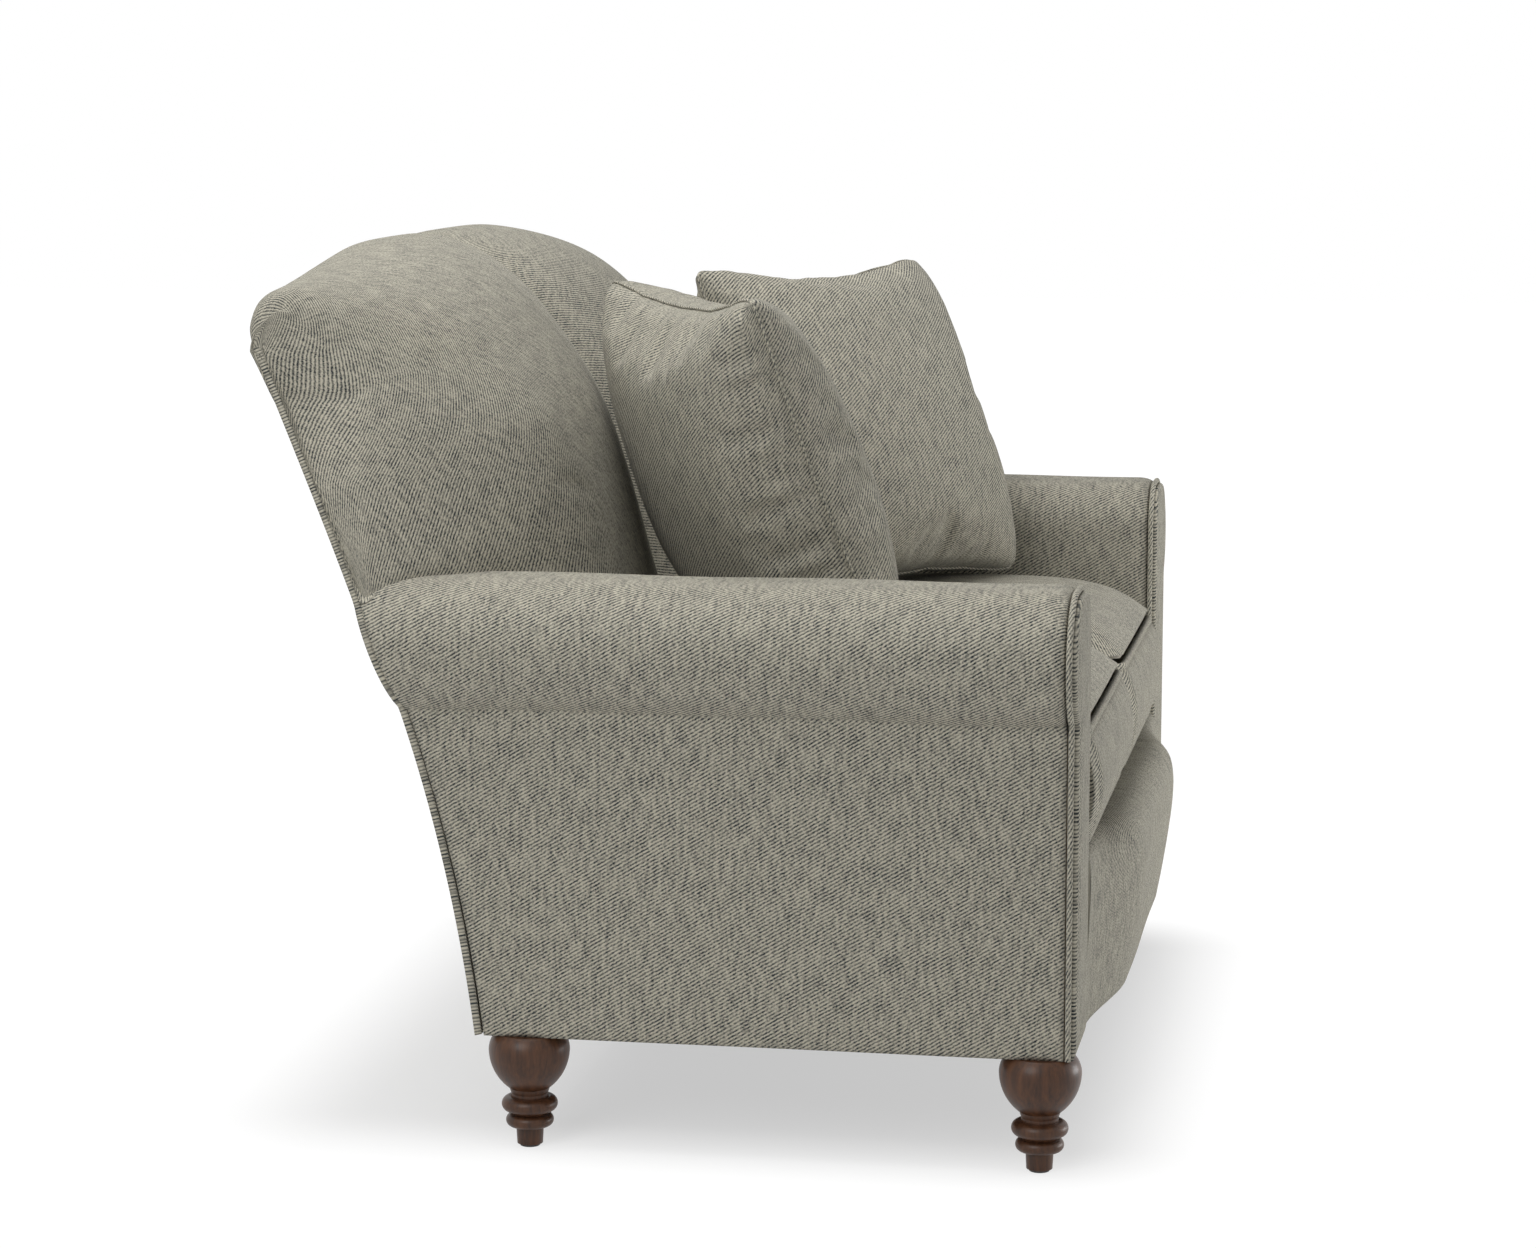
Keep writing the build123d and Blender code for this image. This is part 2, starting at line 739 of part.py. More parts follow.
def pad_section(x):
    """One inside back pad in side view at a place across the back."""
    crest = pad_crest(x)
    low = seat_deck_height + soft_clearance
    seat = (pad_seat_y, low)
    knee = (pad_seat_y, pad_seat_height)
    turn_y = pad_seat_y + (pad_round_height - pad_seat_height) * pad_recline
    turn = (turn_y, pad_round_height)
    top = (pad_crest_y, crest)
    swell = (
        (turn_y + pad_crest_y) / 2 - pad_swell_forward,
        (pad_round_height + crest) / 2 + pad_swell_rise,
    )
    tail_z = crest - pad_tail_drop
    tail = (rear_line_y(tail_z, 0), tail_z)
    corner = (pad_crest_y + pad_tail_run, crest - pad_tail_dip)
    heel = (rear_line_y(low, 0), low)
    edges = [
        Line(seat, knee),
        Line(knee, turn),
        ThreePointArc(turn, swell, top),
        ThreePointArc(top, corner, tail),
        Line(tail, heel),
        Line(heel, seat),
    ]
    return Plane.YZ.offset(x) * make_face(edges)


def pad_plan():
    """One pad from above at the seat: drawn back at the centre, with a slanted outer side."""
    front = pad_seat_y
    inner_x = cushion_gap / 2
    turn = (pad_side_turn_x, front + pad_side_turn_depth)
    flat_to = pad_side_turn_x - pad_side_turn_width
    far_x = pad_outer_bottom_x + 2 * pad_trim
    far = (far_x, turn[1] + (far_x - turn[0]) * pad_side_slope)
    valley = (inner_x, front + pad_valley_depth)
    valley_side = (pad_valley_middle, front + pad_valley_middle_depth)
    valley_end = (pad_valley_width, front + pad_valley_end_depth)
    flat_end = (flat_to, front + pad_side_turn_start)
    turn_side = (flat_to + pad_side_turn_middle, front + pad_side_turn_middle_depth)
    edges = [
        ThreePointArc(valley, valley_side, valley_end),
        ThreePointArc(valley_end, ((pad_valley_width + flat_to) / 2, front), flat_end),
        ThreePointArc(flat_end, turn_side, turn),
        Line(turn, far),
        Line(far, (far_x, far_reach)),
        Line((far_x, far_reach), (inner_x, far_reach)),
        Line((inner_x, far_reach), valley),
    ]
    return make_face(edges)


def back_pad():
    """The right inside back pad, cut round the arm, the frame and the outside back."""
    stations = [share * (pad_outer_bottom_x + pad_trim) for share in pad_station_shares]
    body = loft([pad_section(x) for x in stations])
    lean = Vector(0, pad_recline, 1)
    plan = Plane.XY.offset(pad_seat_height) * pad_plan()
    upper = extrude(plan, amount=far_reach, dir=lean)
    lower = extrude(Plane.XY * pad_plan(), amount=pad_seat_height)
    low = deck_bottom
    inner = cushion_gap / 2
    arm_side = arm_inner - pad_clearance
    arm_end = (arm_outer + pad_clearance, crease_height(pad_clearance))
    side_run = (pad_outer_bottom_x - pad_outer_top_x) / (back_panel_top_end - arm_height)
    ceiling = 2 * far_reach
    ceiling_x = pad_outer_bottom_x - side_run * (ceiling - arm_height)
    ledge_x = arm_outer + roll_radius
    ledge = arm_height - pad_ledge_drop
    outline = [
        Line((inner, low), (arm_side, low)),
        Line((arm_side, low), (arm_side, shoulder_z)),
        *arm_top_edges(pad_clearance),
        Line(arm_end, (ledge_x, arm_end[1])),
        Line((ledge_x, arm_end[1]), (ledge_x, ledge)),
        Line((ledge_x, ledge), (pad_outer_bottom_x, arm_height)),
        Line((pad_outer_bottom_x, arm_height), (ceiling_x, ceiling)),
        Line((ceiling_x, ceiling), (inner, ceiling)),
        Line((inner, ceiling), (inner, low)),
    ]
    pad = body & (upper + lower) & front_prism(outline, -far_reach, far_reach)
    half = block_inner + pad_clearance
    frame_top = crest_edges(
        crest_top_end + pad_clearance, crest_top_middle + pad_clearance, half, far_reach
    )
    room_depth = frame_depth + strap_thickness + 2 * pad_clearance
    frame_room = raked_slab(strap_thickness + pad_clearance, room_depth, (-half, half), (0, far_reach * 2))
    pad -= front_prism(frame_top, -far_reach, far_reach) & frame_room
    pad -= outside_back_outline(pad_clearance) - before_rear(back_panel_thickness + pad_clearance)
    return one_solid(pad)


# Seat cushions

def cushion_ring(inset, front, back, corner, draw):
    """A cushion's outline from above, the right one, with sides that pull in between round corners."""
    x = (cushion_gap / 2 + inset, arm_inner - cushion_side_clearance - inset)
    middle_x = sum(x) / 2
    middle_y = (front + back) / 2
    half = corner * (1 - sqrt(0.5))
    return [
        ThreePointArc((x[0] + corner, front), (middle_x, front + draw), (x[1] - corner, front)),
        ThreePointArc((x[1] - corner, front), (x[1] - half, front + half), (x[1], front + corner)),
        ThreePointArc((x[1], front + corner), (x[1] - draw, middle_y), (x[1], back - corner)),
        ThreePointArc((x[1], back - corner), (x[1] - half, back - half), (x[1] - corner, back)),
        ThreePointArc((x[1] - corner, back), (middle_x, back - draw), (x[0] + corner, back)),
        ThreePointArc((x[0] + corner, back), (x[0] + half, back - half), (x[0], back - corner)),
        ThreePointArc((x[0], back - corner), (x[0] + draw, middle_y), (x[0], front + corner)),
        ThreePointArc((x[0], front + corner), (x[0] + half, front + half), (x[0] + corner, front)),
    ]


def cushion_face(height, shrink, side_inset, front_inset, back_inset):
    """One level slice of the right cushion, inset from its sides, front and back."""
    front = cushion_welt_y - cushion_welt_radius
    back = pad_seat_y - soft_clearance - zip_thickness
    edges = cushion_ring(
        side_inset + shrink,
        front + front_inset + shrink,
        back - back_inset - shrink,
        cushion_corner_radius,
        cushion_draw_depth,
    )
    return Plane.XY.offset(height) * make_face(edges)


def cushion_body(shrink):
    """A crowned seat cushion: a tucked base, boxed sides that swell at the front, and a domed top."""
    low = seat_deck_height + cushion_lift_clearance
    tuck = 2 * cushion_welt_radius + soft_clearance
    tucked = (tuck, tuck, tuck)
    swollen = (cushion_side_inset, 2 * cushion_welt_radius - cushion_front_bulge, 0.0)
    border_low = low + 2 * cushion_welt_radius
    border_high = cushion_top_welt_height - cushion_welt_radius
    crown_high = cushion_top_welt_height + cushion_crown - shrink
    rise = sin(pi / 4)
    halfway = [tuck + (reach - tuck) * (1 - rise) for reach in cushion_crown_reach]
    base = extrude(cushion_face(low + shrink, shrink, *tucked), amount=border_low - low - shrink)
    border = loft([
        cushion_face(border_low, shrink, *tucked),
        cushion_face((border_low + border_high) / 2, shrink, *swollen),
        cushion_face(border_high, shrink, *tucked),
    ])
    dome = loft([
        cushion_face(border_high, shrink, *tucked),
        cushion_face(border_high + (crown_high - border_high) * rise, shrink, *halfway),
        cushion_face(crown_high, shrink, *cushion_crown_reach),
    ])
    return base + border + dome


def cushion_welts():
    """Piping round the top and bottom edges of the right cushion."""
    front = cushion_welt_y
    back = pad_seat_y - soft_clearance - zip_thickness - cushion_welt_radius
    corner = cushion_corner_radius + cushion_welt_radius
    x = (cushion_gap / 2 + cushion_welt_radius, arm_inner - cushion_side_clearance - cushion_welt_radius)
    outline = Pos(sum(x) / 2, (front + back) / 2) * RectangleRounded(x[1] - x[0], back - front, corner)
    welts = []
    for z in (seat_deck_height + cushion_lift_clearance + cushion_welt_radius, cushion_top_welt_height):
        path = (Pos(0, 0, z) * outline).wire()
        welts.append(sweep(Plane(path @ 0, z_dir=path % 0) * Circle(cushion_welt_radius), path=path))
    return welts


def cushion_zip():
    back = pad_seat_y - soft_clearance
    middle_x = (cushion_gap / 2 + arm_inner - cushion_side_clearance) / 2
    waist = (seat_deck_height + cushion_top_welt_height) / 2
    return level_box(
        (middle_x - zip_length / 2, middle_x + zip_length / 2),
        (back - zip_thickness + soft_clearance, back),
        (waist - zip_width / 2, waist + zip_width / 2),
    )


# Throw pillows

def pillow_body(shrink):
    """A square pillow standing on its lower edge: lens sections that thin out to the seams."""
    stations = 9
    height = pillow_width - 2 * pillow_draw_depth
    sections = []
    for step in range(stations):
        share = step / (stations - 1)
        rise = sin(pi * share)
        swell = (pillow_thickness - pillow_edge_thickness) * rise ** pillow_fullness
        half_thick = (pillow_edge_thickness + swell) / 2 - shrink
        half_wide = pillow_width / 2 - pillow_draw_depth * rise - 3 * shrink
        inset = 4 * shrink
        z = inset + share * (height - 2 * inset)
        half_thick = max(half_thick, pillow_edge_thickness / 2 - shrink * 0.6)
        lens = [
            ThreePointArc((-half_wide, 0), (0, -half_thick), (half_wide, 0)),
            ThreePointArc((half_wide, 0), (0, half_thick), (-half_wide, 0)),
        ]
        sections.append(Plane.XY.offset(z) * make_face(lens))
    return loft(sections)


def set_pillow(shape, place, turn, lean):
    return Pos(*place, pillow_rest_height) * Rot(0, 0, turn) * Rot(-lean, 0, 0) * shape


os.makedirs("parts", exist_ok=True)
sides = {"right": 1, "left": -1}
rows = {"front": 0, "rear": 1}

# Feet
for row_name, row in rows.items():
    for side_name, side in sides.items():
        save(f"leg_{row_name}_{side_name}", at_leg(leg(), side, row))
places = [(side, row) for side in sides.values() for row in rows.values()]
save("leg_hanger_bolts", *[at_leg(hanger_bolt(), *place) for place in places])
save("leg_tee_nuts", *[at_leg(tee_nut(), *place) for place in places])
save("leg_glides", *[at_leg(glide(), *place) for place in places])

# Frame
save("leg_blocks", *[shape for block in leg_blocks() for shape in both_sides(block)])
save("leg_block_screws", *[shape for place in screw_places() for shape in both_sides(screw(place))])
dowels = joint_rods(dowel_radius, dowel_length)
save("rail_dowels", *[shape for dowel in dowels for shape in both_sides(dowel)])
save("front_seat_rail", front_rail())
save("rear_seat_rail", rear_rail())
save("centre_stretcher", stretcher())
save("crest_rail", crest_rail())
save("lower_back_rail", lower_back_rail())
save("centre_back_post", centre_post())
side_frame = (
    ("side_rail", side_rail),
    ("arm_post", arm_post),
    ("arm_top_rail", arm_rail),
    ("back_post", back_post),
)
for name, make in side_frame:
    right, left = both_sides(make())
    save(f"{name}_right", right)
    save(f"{name}_left", left)

# Suspension
save("seat_springs", *[Pos(x, 0, 0) * spring() for x in spring_places()])
save("spring_clips", *[Pos(x, 0, 0) * spring_clip(y) for x in spring_places() for y in spring_lines()])
save("spring_tie_wires", *tie_wires())
save("back_webbing", *back_straps())

# Fixed upholstery
save("seat_deck", seat_deck())
save("dust_cover", dust_cover())
save("front_apron", apron())
save("outside_back_panel", outside_back())
upholstery = (
    ("arm_cover", arm_cover),
    ("outside_arm_panel", outside_arm_panel),
    ("arm_front_panel", facing),
    ("arm_front_welt", facing_welt),
    ("back_pad", back_pad),
)
for name, make in upholstery:
    right, left = both_sides(make())
    save(f"{name}_right", right)
    save(f"{name}_left", left)

# Loose cushions and pillows
cover_shell = cushion_body(0) - cushion_body(cushion_wall_thickness)
loose = (
    ("cover", [cover_shell]),
    ("core", [cushion_body(cushion_wall_thickness + soft_clearance)]),
    ("welts", cushion_welts()),
    ("zip", [cushion_zip()]),
)
for name, shapes in loose:
    save(f"seat_cushion_right_{name}", *shapes)
    save(f"seat_cushion_left_{name}", *[other_side(shape) for shape in shapes])
poses = {
    "right": ((right_pillow_offset, pad_seat_y - right_pillow_gap), right_pillow_turn, right_pillow_lean),
    "left": ((left_pillow_offset, pad_seat_y - left_pillow_gap), left_pillow_turn, left_pillow_lean),
}
for side_name, pose in poses.items():
    save(f"pillow_{side_name}_cover", set_pillow(pillow_body(0) - pillow_body(pillow_wall_thickness), *pose))
    save(f"pillow_{side_name}_fill", set_pillow(pillow_body(pillow_wall_thickness + soft_clearance), *pose))
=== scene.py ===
import bmesh
import bpy
import numpy as np
from mathutils import Matrix


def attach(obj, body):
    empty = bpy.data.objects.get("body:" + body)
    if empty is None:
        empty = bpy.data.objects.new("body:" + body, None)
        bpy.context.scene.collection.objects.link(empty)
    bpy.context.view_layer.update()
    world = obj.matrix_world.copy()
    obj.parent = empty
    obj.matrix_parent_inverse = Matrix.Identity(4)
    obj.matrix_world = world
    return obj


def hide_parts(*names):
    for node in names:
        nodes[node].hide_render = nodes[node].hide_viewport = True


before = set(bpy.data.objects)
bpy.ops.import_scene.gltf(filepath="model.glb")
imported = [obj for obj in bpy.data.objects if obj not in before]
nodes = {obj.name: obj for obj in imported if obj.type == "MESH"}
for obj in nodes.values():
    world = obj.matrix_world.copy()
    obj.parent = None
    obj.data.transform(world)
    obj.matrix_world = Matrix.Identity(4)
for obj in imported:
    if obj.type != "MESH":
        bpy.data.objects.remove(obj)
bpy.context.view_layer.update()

print("frame is in:", len(nodes), "nodes")

# metres; X runs across, -Y is the front, Z is up, as in the part
sofa = {
    "armInner": 0.462, "armOuter": 0.597, "armTop": 0.622,
    "shoulder": 0.057, "roll": 0.075, "rollX": 0.557,
    "underside": 0.127, "deckLow": 0.2845, "deckTop": 0.326,
    "coverFront": -0.420, "facingFront": -0.4325,
    "foot": 0.2165, "bendY": 0.340, "bendZ": 0.595, "rake": 22.8,
    "rakeSwell": 0.013, "swellRun": 0.27, "panelThick": 0.0087,
}
hand = {-1: "Left", 1: "Right"}  # the side of a piece, by the sign of its X


# finishes are node trees on the piece's own cloth map or on Object coordinates
def blankFinish(name):
    made = bpy.data.materials.new(name)
    made.use_nodes = True
    tree = made.node_tree
    tree.nodes.clear()
    out = tree.nodes.new("ShaderNodeOutputMaterial")
    skin = tree.nodes.new("ShaderNodeBsdfPrincipled")
    tree.links.new(skin.outputs["BSDF"], out.inputs["Surface"])
    return made, tree, skin


def put(tree, kind, inputs=None, **settings):
    # one node, its settings, and its sockets given as numbers or as links
    node = tree.nodes.new(kind)
    for key, value in settings.items():
        setattr(node, key, value)
    for key, value in (inputs or {}).items():
        if isinstance(value, bpy.types.NodeSocket):
            tree.links.new(value, node.inputs[key])
        else:
            node.inputs[key].default_value = value
    return node


def sums(tree, operation, first, second=0.0, third=0.0):
    node = put(tree, "ShaderNodeMath", {0: first, 1: second, 2: third}, operation=operation)
    return node.outputs[0]


def noise(tree, place, scale, detail, roughness=0.5):
    inputs = {"Vector": place, "Scale": scale, "Detail": detail, "Roughness": roughness}
    return put(tree, "ShaderNodeTexNoise", inputs).outputs


def stretched(tree, place, scale):
    return put(tree, "ShaderNodeMapping", {"Vector": place, "Scale": scale}).outputs[0]


def roughBetween(tree, skin, value, low, high):
    span = put(tree, "ShaderNodeMapRange", {"Value": value, "To Min": low, "To Max": high})
    tree.links.new(span.outputs[0], skin.inputs["Roughness"])


def bumped(tree, skin, height, strength, distance):
    bump = put(tree, "ShaderNodeBump", {"Height": height, "Strength": strength, "Distance": distance})
    tree.links.new(bump.outputs[0], skin.inputs["Normal"])


def ramp(tree, value, stops):
    node = put(tree, "ShaderNodeValToRGB", {"Fac": value})
    band = node.color_ramp
    while len(band.elements) < len(stops):
        band.elements.new(0.5)
    for element, (place, colour) in zip(band.elements, stops):
        element.position = place
        element.color = (*colour, 1.0)
    return node.outputs["Color"]


twill = {
    "rib": 0.0036, "lean": 31.0, "dark": (0.030, 0.037, 0.042), "pale": (0.545, 0.512, 0.415),
    "dash": 1.75, "slub": 0.78, "blotch": 0.20,  # how strongly each speckle shows
    "dashScale": (330.0, 560.0, 1.0), "slubScale": (210.0, 42.0, 1.0), "blotchScale": 30.0,
    "wanderScale": 90.0, "wander": 2.2,  # bends the ribs, in radians of their wave
    "ribShade": -0.32, "middle": 0.46, "paleAt": 0.12, "darkAt": 0.92,
    "matte": (0.84, 0.97), "relief": 0.0006,
}


def twillFinish(name, tone):
    # ribs: a sine across lines that rise at the lean, broken into dashes by a noise stretched along the rib;
    # a noise stretched upright makes some threads darker, as slubs, and a slow one clouds the whole
    made, tree, skin = blankFinish(name)
    cloth = put(tree, "ShaderNodeUVMap", uv_map="weave").outputs["UV"]
    lean = (0, 0, -np.radians(twill["lean"]))
    turned = put(tree, "ShaderNodeMapping", {"Vector": cloth, "Rotation": lean}).outputs[0]
    across = put(tree, "ShaderNodeSeparateXYZ", {0: turned}).outputs["Y"]
    wander = noise(tree, cloth, twill["wanderScale"], 2.0)["Fac"]
    bend = sums(tree, "MULTIPLY", wander, twill["wander"])
    rib = sums(tree, "SINE", sums(tree, "MULTIPLY_ADD", across, 2 * np.pi / twill["rib"], bend))
    dash = noise(tree, stretched(tree, turned, twill["dashScale"]), 1.0, 2.0, 0.6)["Fac"]
    slub = noise(tree, stretched(tree, cloth, twill["slubScale"]), 1.0, 3.0)["Fac"]
    blotch = noise(tree, cloth, twill["blotchScale"], 3.0)["Fac"]
    sunk = sums(tree, "MULTIPLY_ADD", rib, twill["ribShade"], twill["middle"])
    for speck, share in ((dash, "dash"), (slub, "slub"), (blotch, "blotch")):
        sunk = sums(tree, "MULTIPLY_ADD", sums(tree, "SUBTRACT", speck, 0.5), twill[share], sunk)
    # tone scales both colours; above 1 it paints a highlight into the cloth, as on the piping
    pale, dark = (tuple(tone * c for c in twill[key]) for key in ("pale", "dark"))
    colour = ramp(tree, sunk, [(twill["paleAt"], pale), (twill["darkAt"], dark)])
    tree.links.new(colour, skin.inputs["Base Color"])
    roughBetween(tree, skin, dash, *twill["matte"])
    height = sums(tree, "MULTIPLY_ADD", dash, 0.8, sums(tree, "MULTIPLY", rib, 0.5))
    bumped(tree, skin, height, 0.4, twill["relief"])
    skin.inputs["Specular IOR Level"].default_value = 0.15
    skin.inputs["Sheen Weight"].default_value = 0.05
    skin.inputs["Sheen Roughness"].default_value = 0.55
    return made


def grainFinish(name, dark, pale, stretch, rough, coat, depth):
    # long noise along one axis, bent by a slow noise, through a two-tone ramp
    made, tree, skin = blankFinish(name)
    place = put(tree, "ShaderNodeTexCoord").outputs["Object"]
    slow = noise(tree, place, 9.0, 2.0)["Color"]
    bent = put(tree, "ShaderNodeVectorMath", {0: slow, 1: (0.02, 0.02, 0.02), 2: place}, operation="MULTIPLY_ADD")
    grain = noise(tree, stretched(tree, bent.outputs[0], stretch), 1.0, 6.0, 0.65)["Fac"]
    tree.links.new(ramp(tree, grain, [(0.30, dark), (0.72, pale)]), skin.inputs["Base Color"])
    roughBetween(tree, skin, grain, rough - 0.07, rough + 0.10)
    bumped(tree, skin, grain, 0.15, depth)
    skin.inputs["Specular IOR Level"].default_value = 0.32
    skin.inputs["Coat Weight"].default_value = coat
    skin.inputs["Coat Roughness"].default_value = 0.22
    return made


def speckFinish(name, dark, pale, scale, rough, metal=0.0):
    # fine noise through a two-tone ramp, for foam, cloth tape, nylon and wire
    made, tree, skin = blankFinish(name)
    place = put(tree, "ShaderNodeTexCoord").outputs["Object"]
    speck = noise(tree, place, scale, 4.0)["Fac"]
    tree.links.new(ramp(tree, speck, [(0.35, dark), (0.65, pale)]), skin.inputs["Base Color"])
    roughBetween(tree, skin, speck, rough - 0.08, rough + 0.08)
    bumped(tree, skin, speck, 0.2, 0.0005)
    skin.inputs["Metallic"].default_value = metal
    return made


finishes = {
    "upholstery": twillFinish("greyTwill", 1.0),
    # piping: the upholstery twill painted 6% lighter, a painted highlight so that the cords read as pale lines
    "piping": twillFinish("greyTwillPipingPaintedHighlight", 1.06),
    "leg": grainFinish("walnutTurning", (0.026, 0.010, 0.0045), (0.112, 0.045, 0.0185),
                       stretch=(150, 150, 14), rough=0.42, coat=0.12, depth=0.0004),
    "frameWood": grainFinish("birchFrame", (0.42, 0.30, 0.18), (0.62, 0.48, 0.31),
                             stretch=(70, 9, 70), rough=0.62, coat=0.0, depth=0.0005),
    "steel": speckFinish("zincSteel", (0.40, 0.40, 0.41), (0.62, 0.62, 0.63), 420.0, 0.38, 1.0),
    "nylon": speckFinish("nylonGlide", (0.045, 0.043, 0.040), (0.075, 0.072, 0.068), 600.0, 0.48),
    "foam": speckFinish("seatFoam", (0.70, 0.66, 0.55), (0.84, 0.80, 0.70), 700.0, 0.92),
    "fibre": speckFinish("fibreFill", (0.74, 0.74, 0.72), (0.90, 0.90, 0.88), 240.0, 0.95),
    "webbing": speckFinish("juteWebbing", (0.24, 0.17, 0.10), (0.46, 0.36, 0.23), 520.0, 0.90),
    "dustCloth": speckFinish("dustCloth", (0.018, 0.018, 0.019), (0.050, 0.050, 0.052), 900.0, 0.93),
    "zipTape": speckFinish("zipTape", (0.20, 0.195, 0.17), (0.33, 0.32, 0.28), 800.0, 0.80),
}
print("finishes:", len(finishes))


# grids of points into meshes
def lengthAlong(line):
    # running length of a polyline, from 0
    return np.r_[0.0, np.cumsum(np.linalg.norm(np.diff(line, axis=0), axis=1))]


def evenLine(line, count):
    # the same polyline with its points evenly spaced by length
    run = lengthAlong(line)
    at = np.linspace(0, run[-1], count)
    return np.stack([np.interp(at, run, column) for column in line.T], -1)


def smoothLine(points, count):
    # Catmull-Rom: a cubic through every point, its slope there half the step between the two neighbours
    line = np.asarray(points, float)
    slope = np.gradient(line, axis=0)
    at = np.linspace(0, len(line) - 1, 40 * len(line))
    low = np.minimum(at.astype(int), len(line) - 2)
    t = (at - low)[:, None]
    a, b, ta, tb = line[low], line[low + 1], slope[low], slope[low + 1]
    curve = (2 * t**3 - 3 * t**2 + 1) * a + (t**3 - 2 * t**2 + t) * ta
    curve += (3 * t**2 - 2 * t**3) * b + (t**3 - t**2) * tb
    return evenLine(curve, count)


def leftNormal(line):
    # unit normal on the left of a plane polyline
    step = np.gradient(line, axis=0)
    step /= np.linalg.norm(step, axis=1)[:, None] + 1e-12
    return np.stack([-step[:, 1], step[:, 0]], -1)


def patch(points, cloth=None):
    # a grid of points with its cloth map in metres; a lid or a rim may go without
    points = np.asarray(points, float)
    return points, points[..., :2] if cloth is None else np.asarray(cloth, float)


def lid(ring):
    # closes a ring with a fan to its middle
    ring = np.asarray(ring, float)
    return patch(np.stack([ring, np.broadcast_to(ring.mean(0), ring.shape)]))


def weldPiece(name, patches, side=1, inside=None, weld=2e-5):
    # quads between neighbours of each grid, all grids welded where they meet, faces turned away from the inside;
    # a left-hand piece is the right-hand one mirrored, with its cloth turned over so that it reads the same
    verts, quads, maps, base = [], [], [], 0
    for points, cloth in patches:
        rows, columns = points.shape[:2]
        index = np.arange(rows * columns).reshape(rows, columns)
        corner = np.stack([index[:-1, :-1], index[:-1, 1:], index[1:, 1:], index[1:, :-1]], -1)
        corner = corner.reshape(-1, 4)
        verts.append(points.reshape(-1, 3) * (side, 1, 1))
        maps.append(cloth.reshape(-1, 2)[corner].reshape(-1, 2) * (side, 1))
        quads.append(corner + base)
        base += rows * columns
    mesh = bpy.data.meshes.new(name)
    mesh.from_pydata(np.concatenate(verts).tolist(), [], np.concatenate(quads).tolist())
    weave = mesh.uv_layers.new(name="weave")
    weave.data.foreach_set("uv", np.concatenate(maps).ravel().astype(np.float32))
    work = bmesh.new()
    work.from_mesh(mesh)
    bmesh.ops.remove_doubles(work, verts=work.verts, dist=weld)
    bmesh.ops.dissolve_degenerate(work, edges=work.edges, dist=1e-6)
    bmesh.ops.recalc_face_normals(work, faces=work.faces)
    work.to_mesh(mesh)
    middle, normal, size = (np.empty(len(mesh.polygons) * k, np.float32) for k in (3, 3, 1))
    mesh.polygons.foreach_get("center", middle)
    mesh.polygons.foreach_get("normal", normal)
    mesh.polygons.foreach_get("area", size)
    middle, normal = middle.reshape(-1, 3), normal.reshape(-1, 3)
    core = middle.mean(0) if inside is None else np.array(inside) * (side, 1, 1)
    if (((middle - core) * normal).sum(1) * size).sum() < 0:
        bmesh.ops.reverse_faces(work, faces=work.faces)
        work.to_mesh(mesh)
    work.free()
    mesh.shade_smooth()
    piece = bpy.data.objects.new(name, mesh)
    bpy.context.scene.collection.objects.link(piece)
    return piece


def pointsOf(piece):
    found = np.empty(len(piece.data.vertices) * 3, np.float32)
    piece.data.vertices.foreach_get("co", found)
    return found.reshape(-1, 3).astype(float)


def setPoints(piece, points):
    piece.data.vertices.foreach_set("co", points.astype(np.float32).ravel())
    piece.data.update()


def finishPiece(piece, body, finish, replaced, subdivide=0):
    piece.data.materials.clear()
    piece.data.materials.append(finishes[finish])
    if subdivide:
        smooth = piece.modifiers.new("smooth", "SUBSURF")
        smooth.levels = smooth.render_levels = subdivide
    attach(piece, body)
    if replaced:
        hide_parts(*replaced)
    return piece


def thicken(piece, thickness):
    # a wall inwards from the shown face
    wall = piece.modifiers.new("wall", "SOLIDIFY")
    wall.thickness = thickness
    wall.offset = -1.0
    return piece


def tube(path, outward, up, radius, closed, sides=12):
    # a circle carried along a path, in the plane of two given directions at each point
    turn = np.linspace(0, 2 * np.pi, sides + 1)
    ring = np.cos(turn)[None, :, None] * outward[:, None] + np.sin(turn)[None, :, None] * up[:, None]
    points = path[:, None] + radius * ring
    run = lengthAlong(path)
    cloth = np.stack(np.broadcast_arrays(run[:, None], radius * turn[None, :]), -1)
    patches = [patch(points, cloth)]
    if not closed:
        patches += [lid(points[0]), lid(points[-1])]
    return patches


def rearLine(z):
    # outside back in side view: a circle's arc from the foot to the bend, then a straight rake that swells back
    # by a power of the height
    rise = sofa["bendZ"] - sofa["underside"]
    sweep = sofa["bendY"] - sofa["foot"]
    rake = np.radians(sofa["rake"])
    radius = np.hypot(rise, sweep) / (2 * np.sin(rake - np.arctan2(sweep, rise)))
    middleY = sofa["bendY"] + radius * np.cos(rake)
    middleZ = sofa["bendZ"] - radius * np.sin(rake)
    arc = middleY - np.sqrt(radius**2 - (np.minimum(z, sofa["bendZ"]) - middleZ) ** 2)
    above = np.maximum(z - sofa["bendZ"], 0)
    return arc + above * np.tan(rake) + sofa["rakeSwell"] * np.minimum(above / sofa["swellRun"], 1.3) ** 1.3


# arms: a cover over the inside and the roll, a flat outside, and a piped facing in front
arm = {
    "tuck": -78.0, "frontRound": 0.020, "frontInset": 0.0075, "wall": 0.014, "gap": 0.0005,
    "panelTop": 0.489, "panelSwell": 0.0022, "panelWall": 0.009, "edgeTurn": 0.0018, "edgeRun": 0.004,
    "facingMiddle": (0.545, 0.52), "facingSwell": 0.0030, "facingEdge": 0.0022, "welt": 0.0033,
}


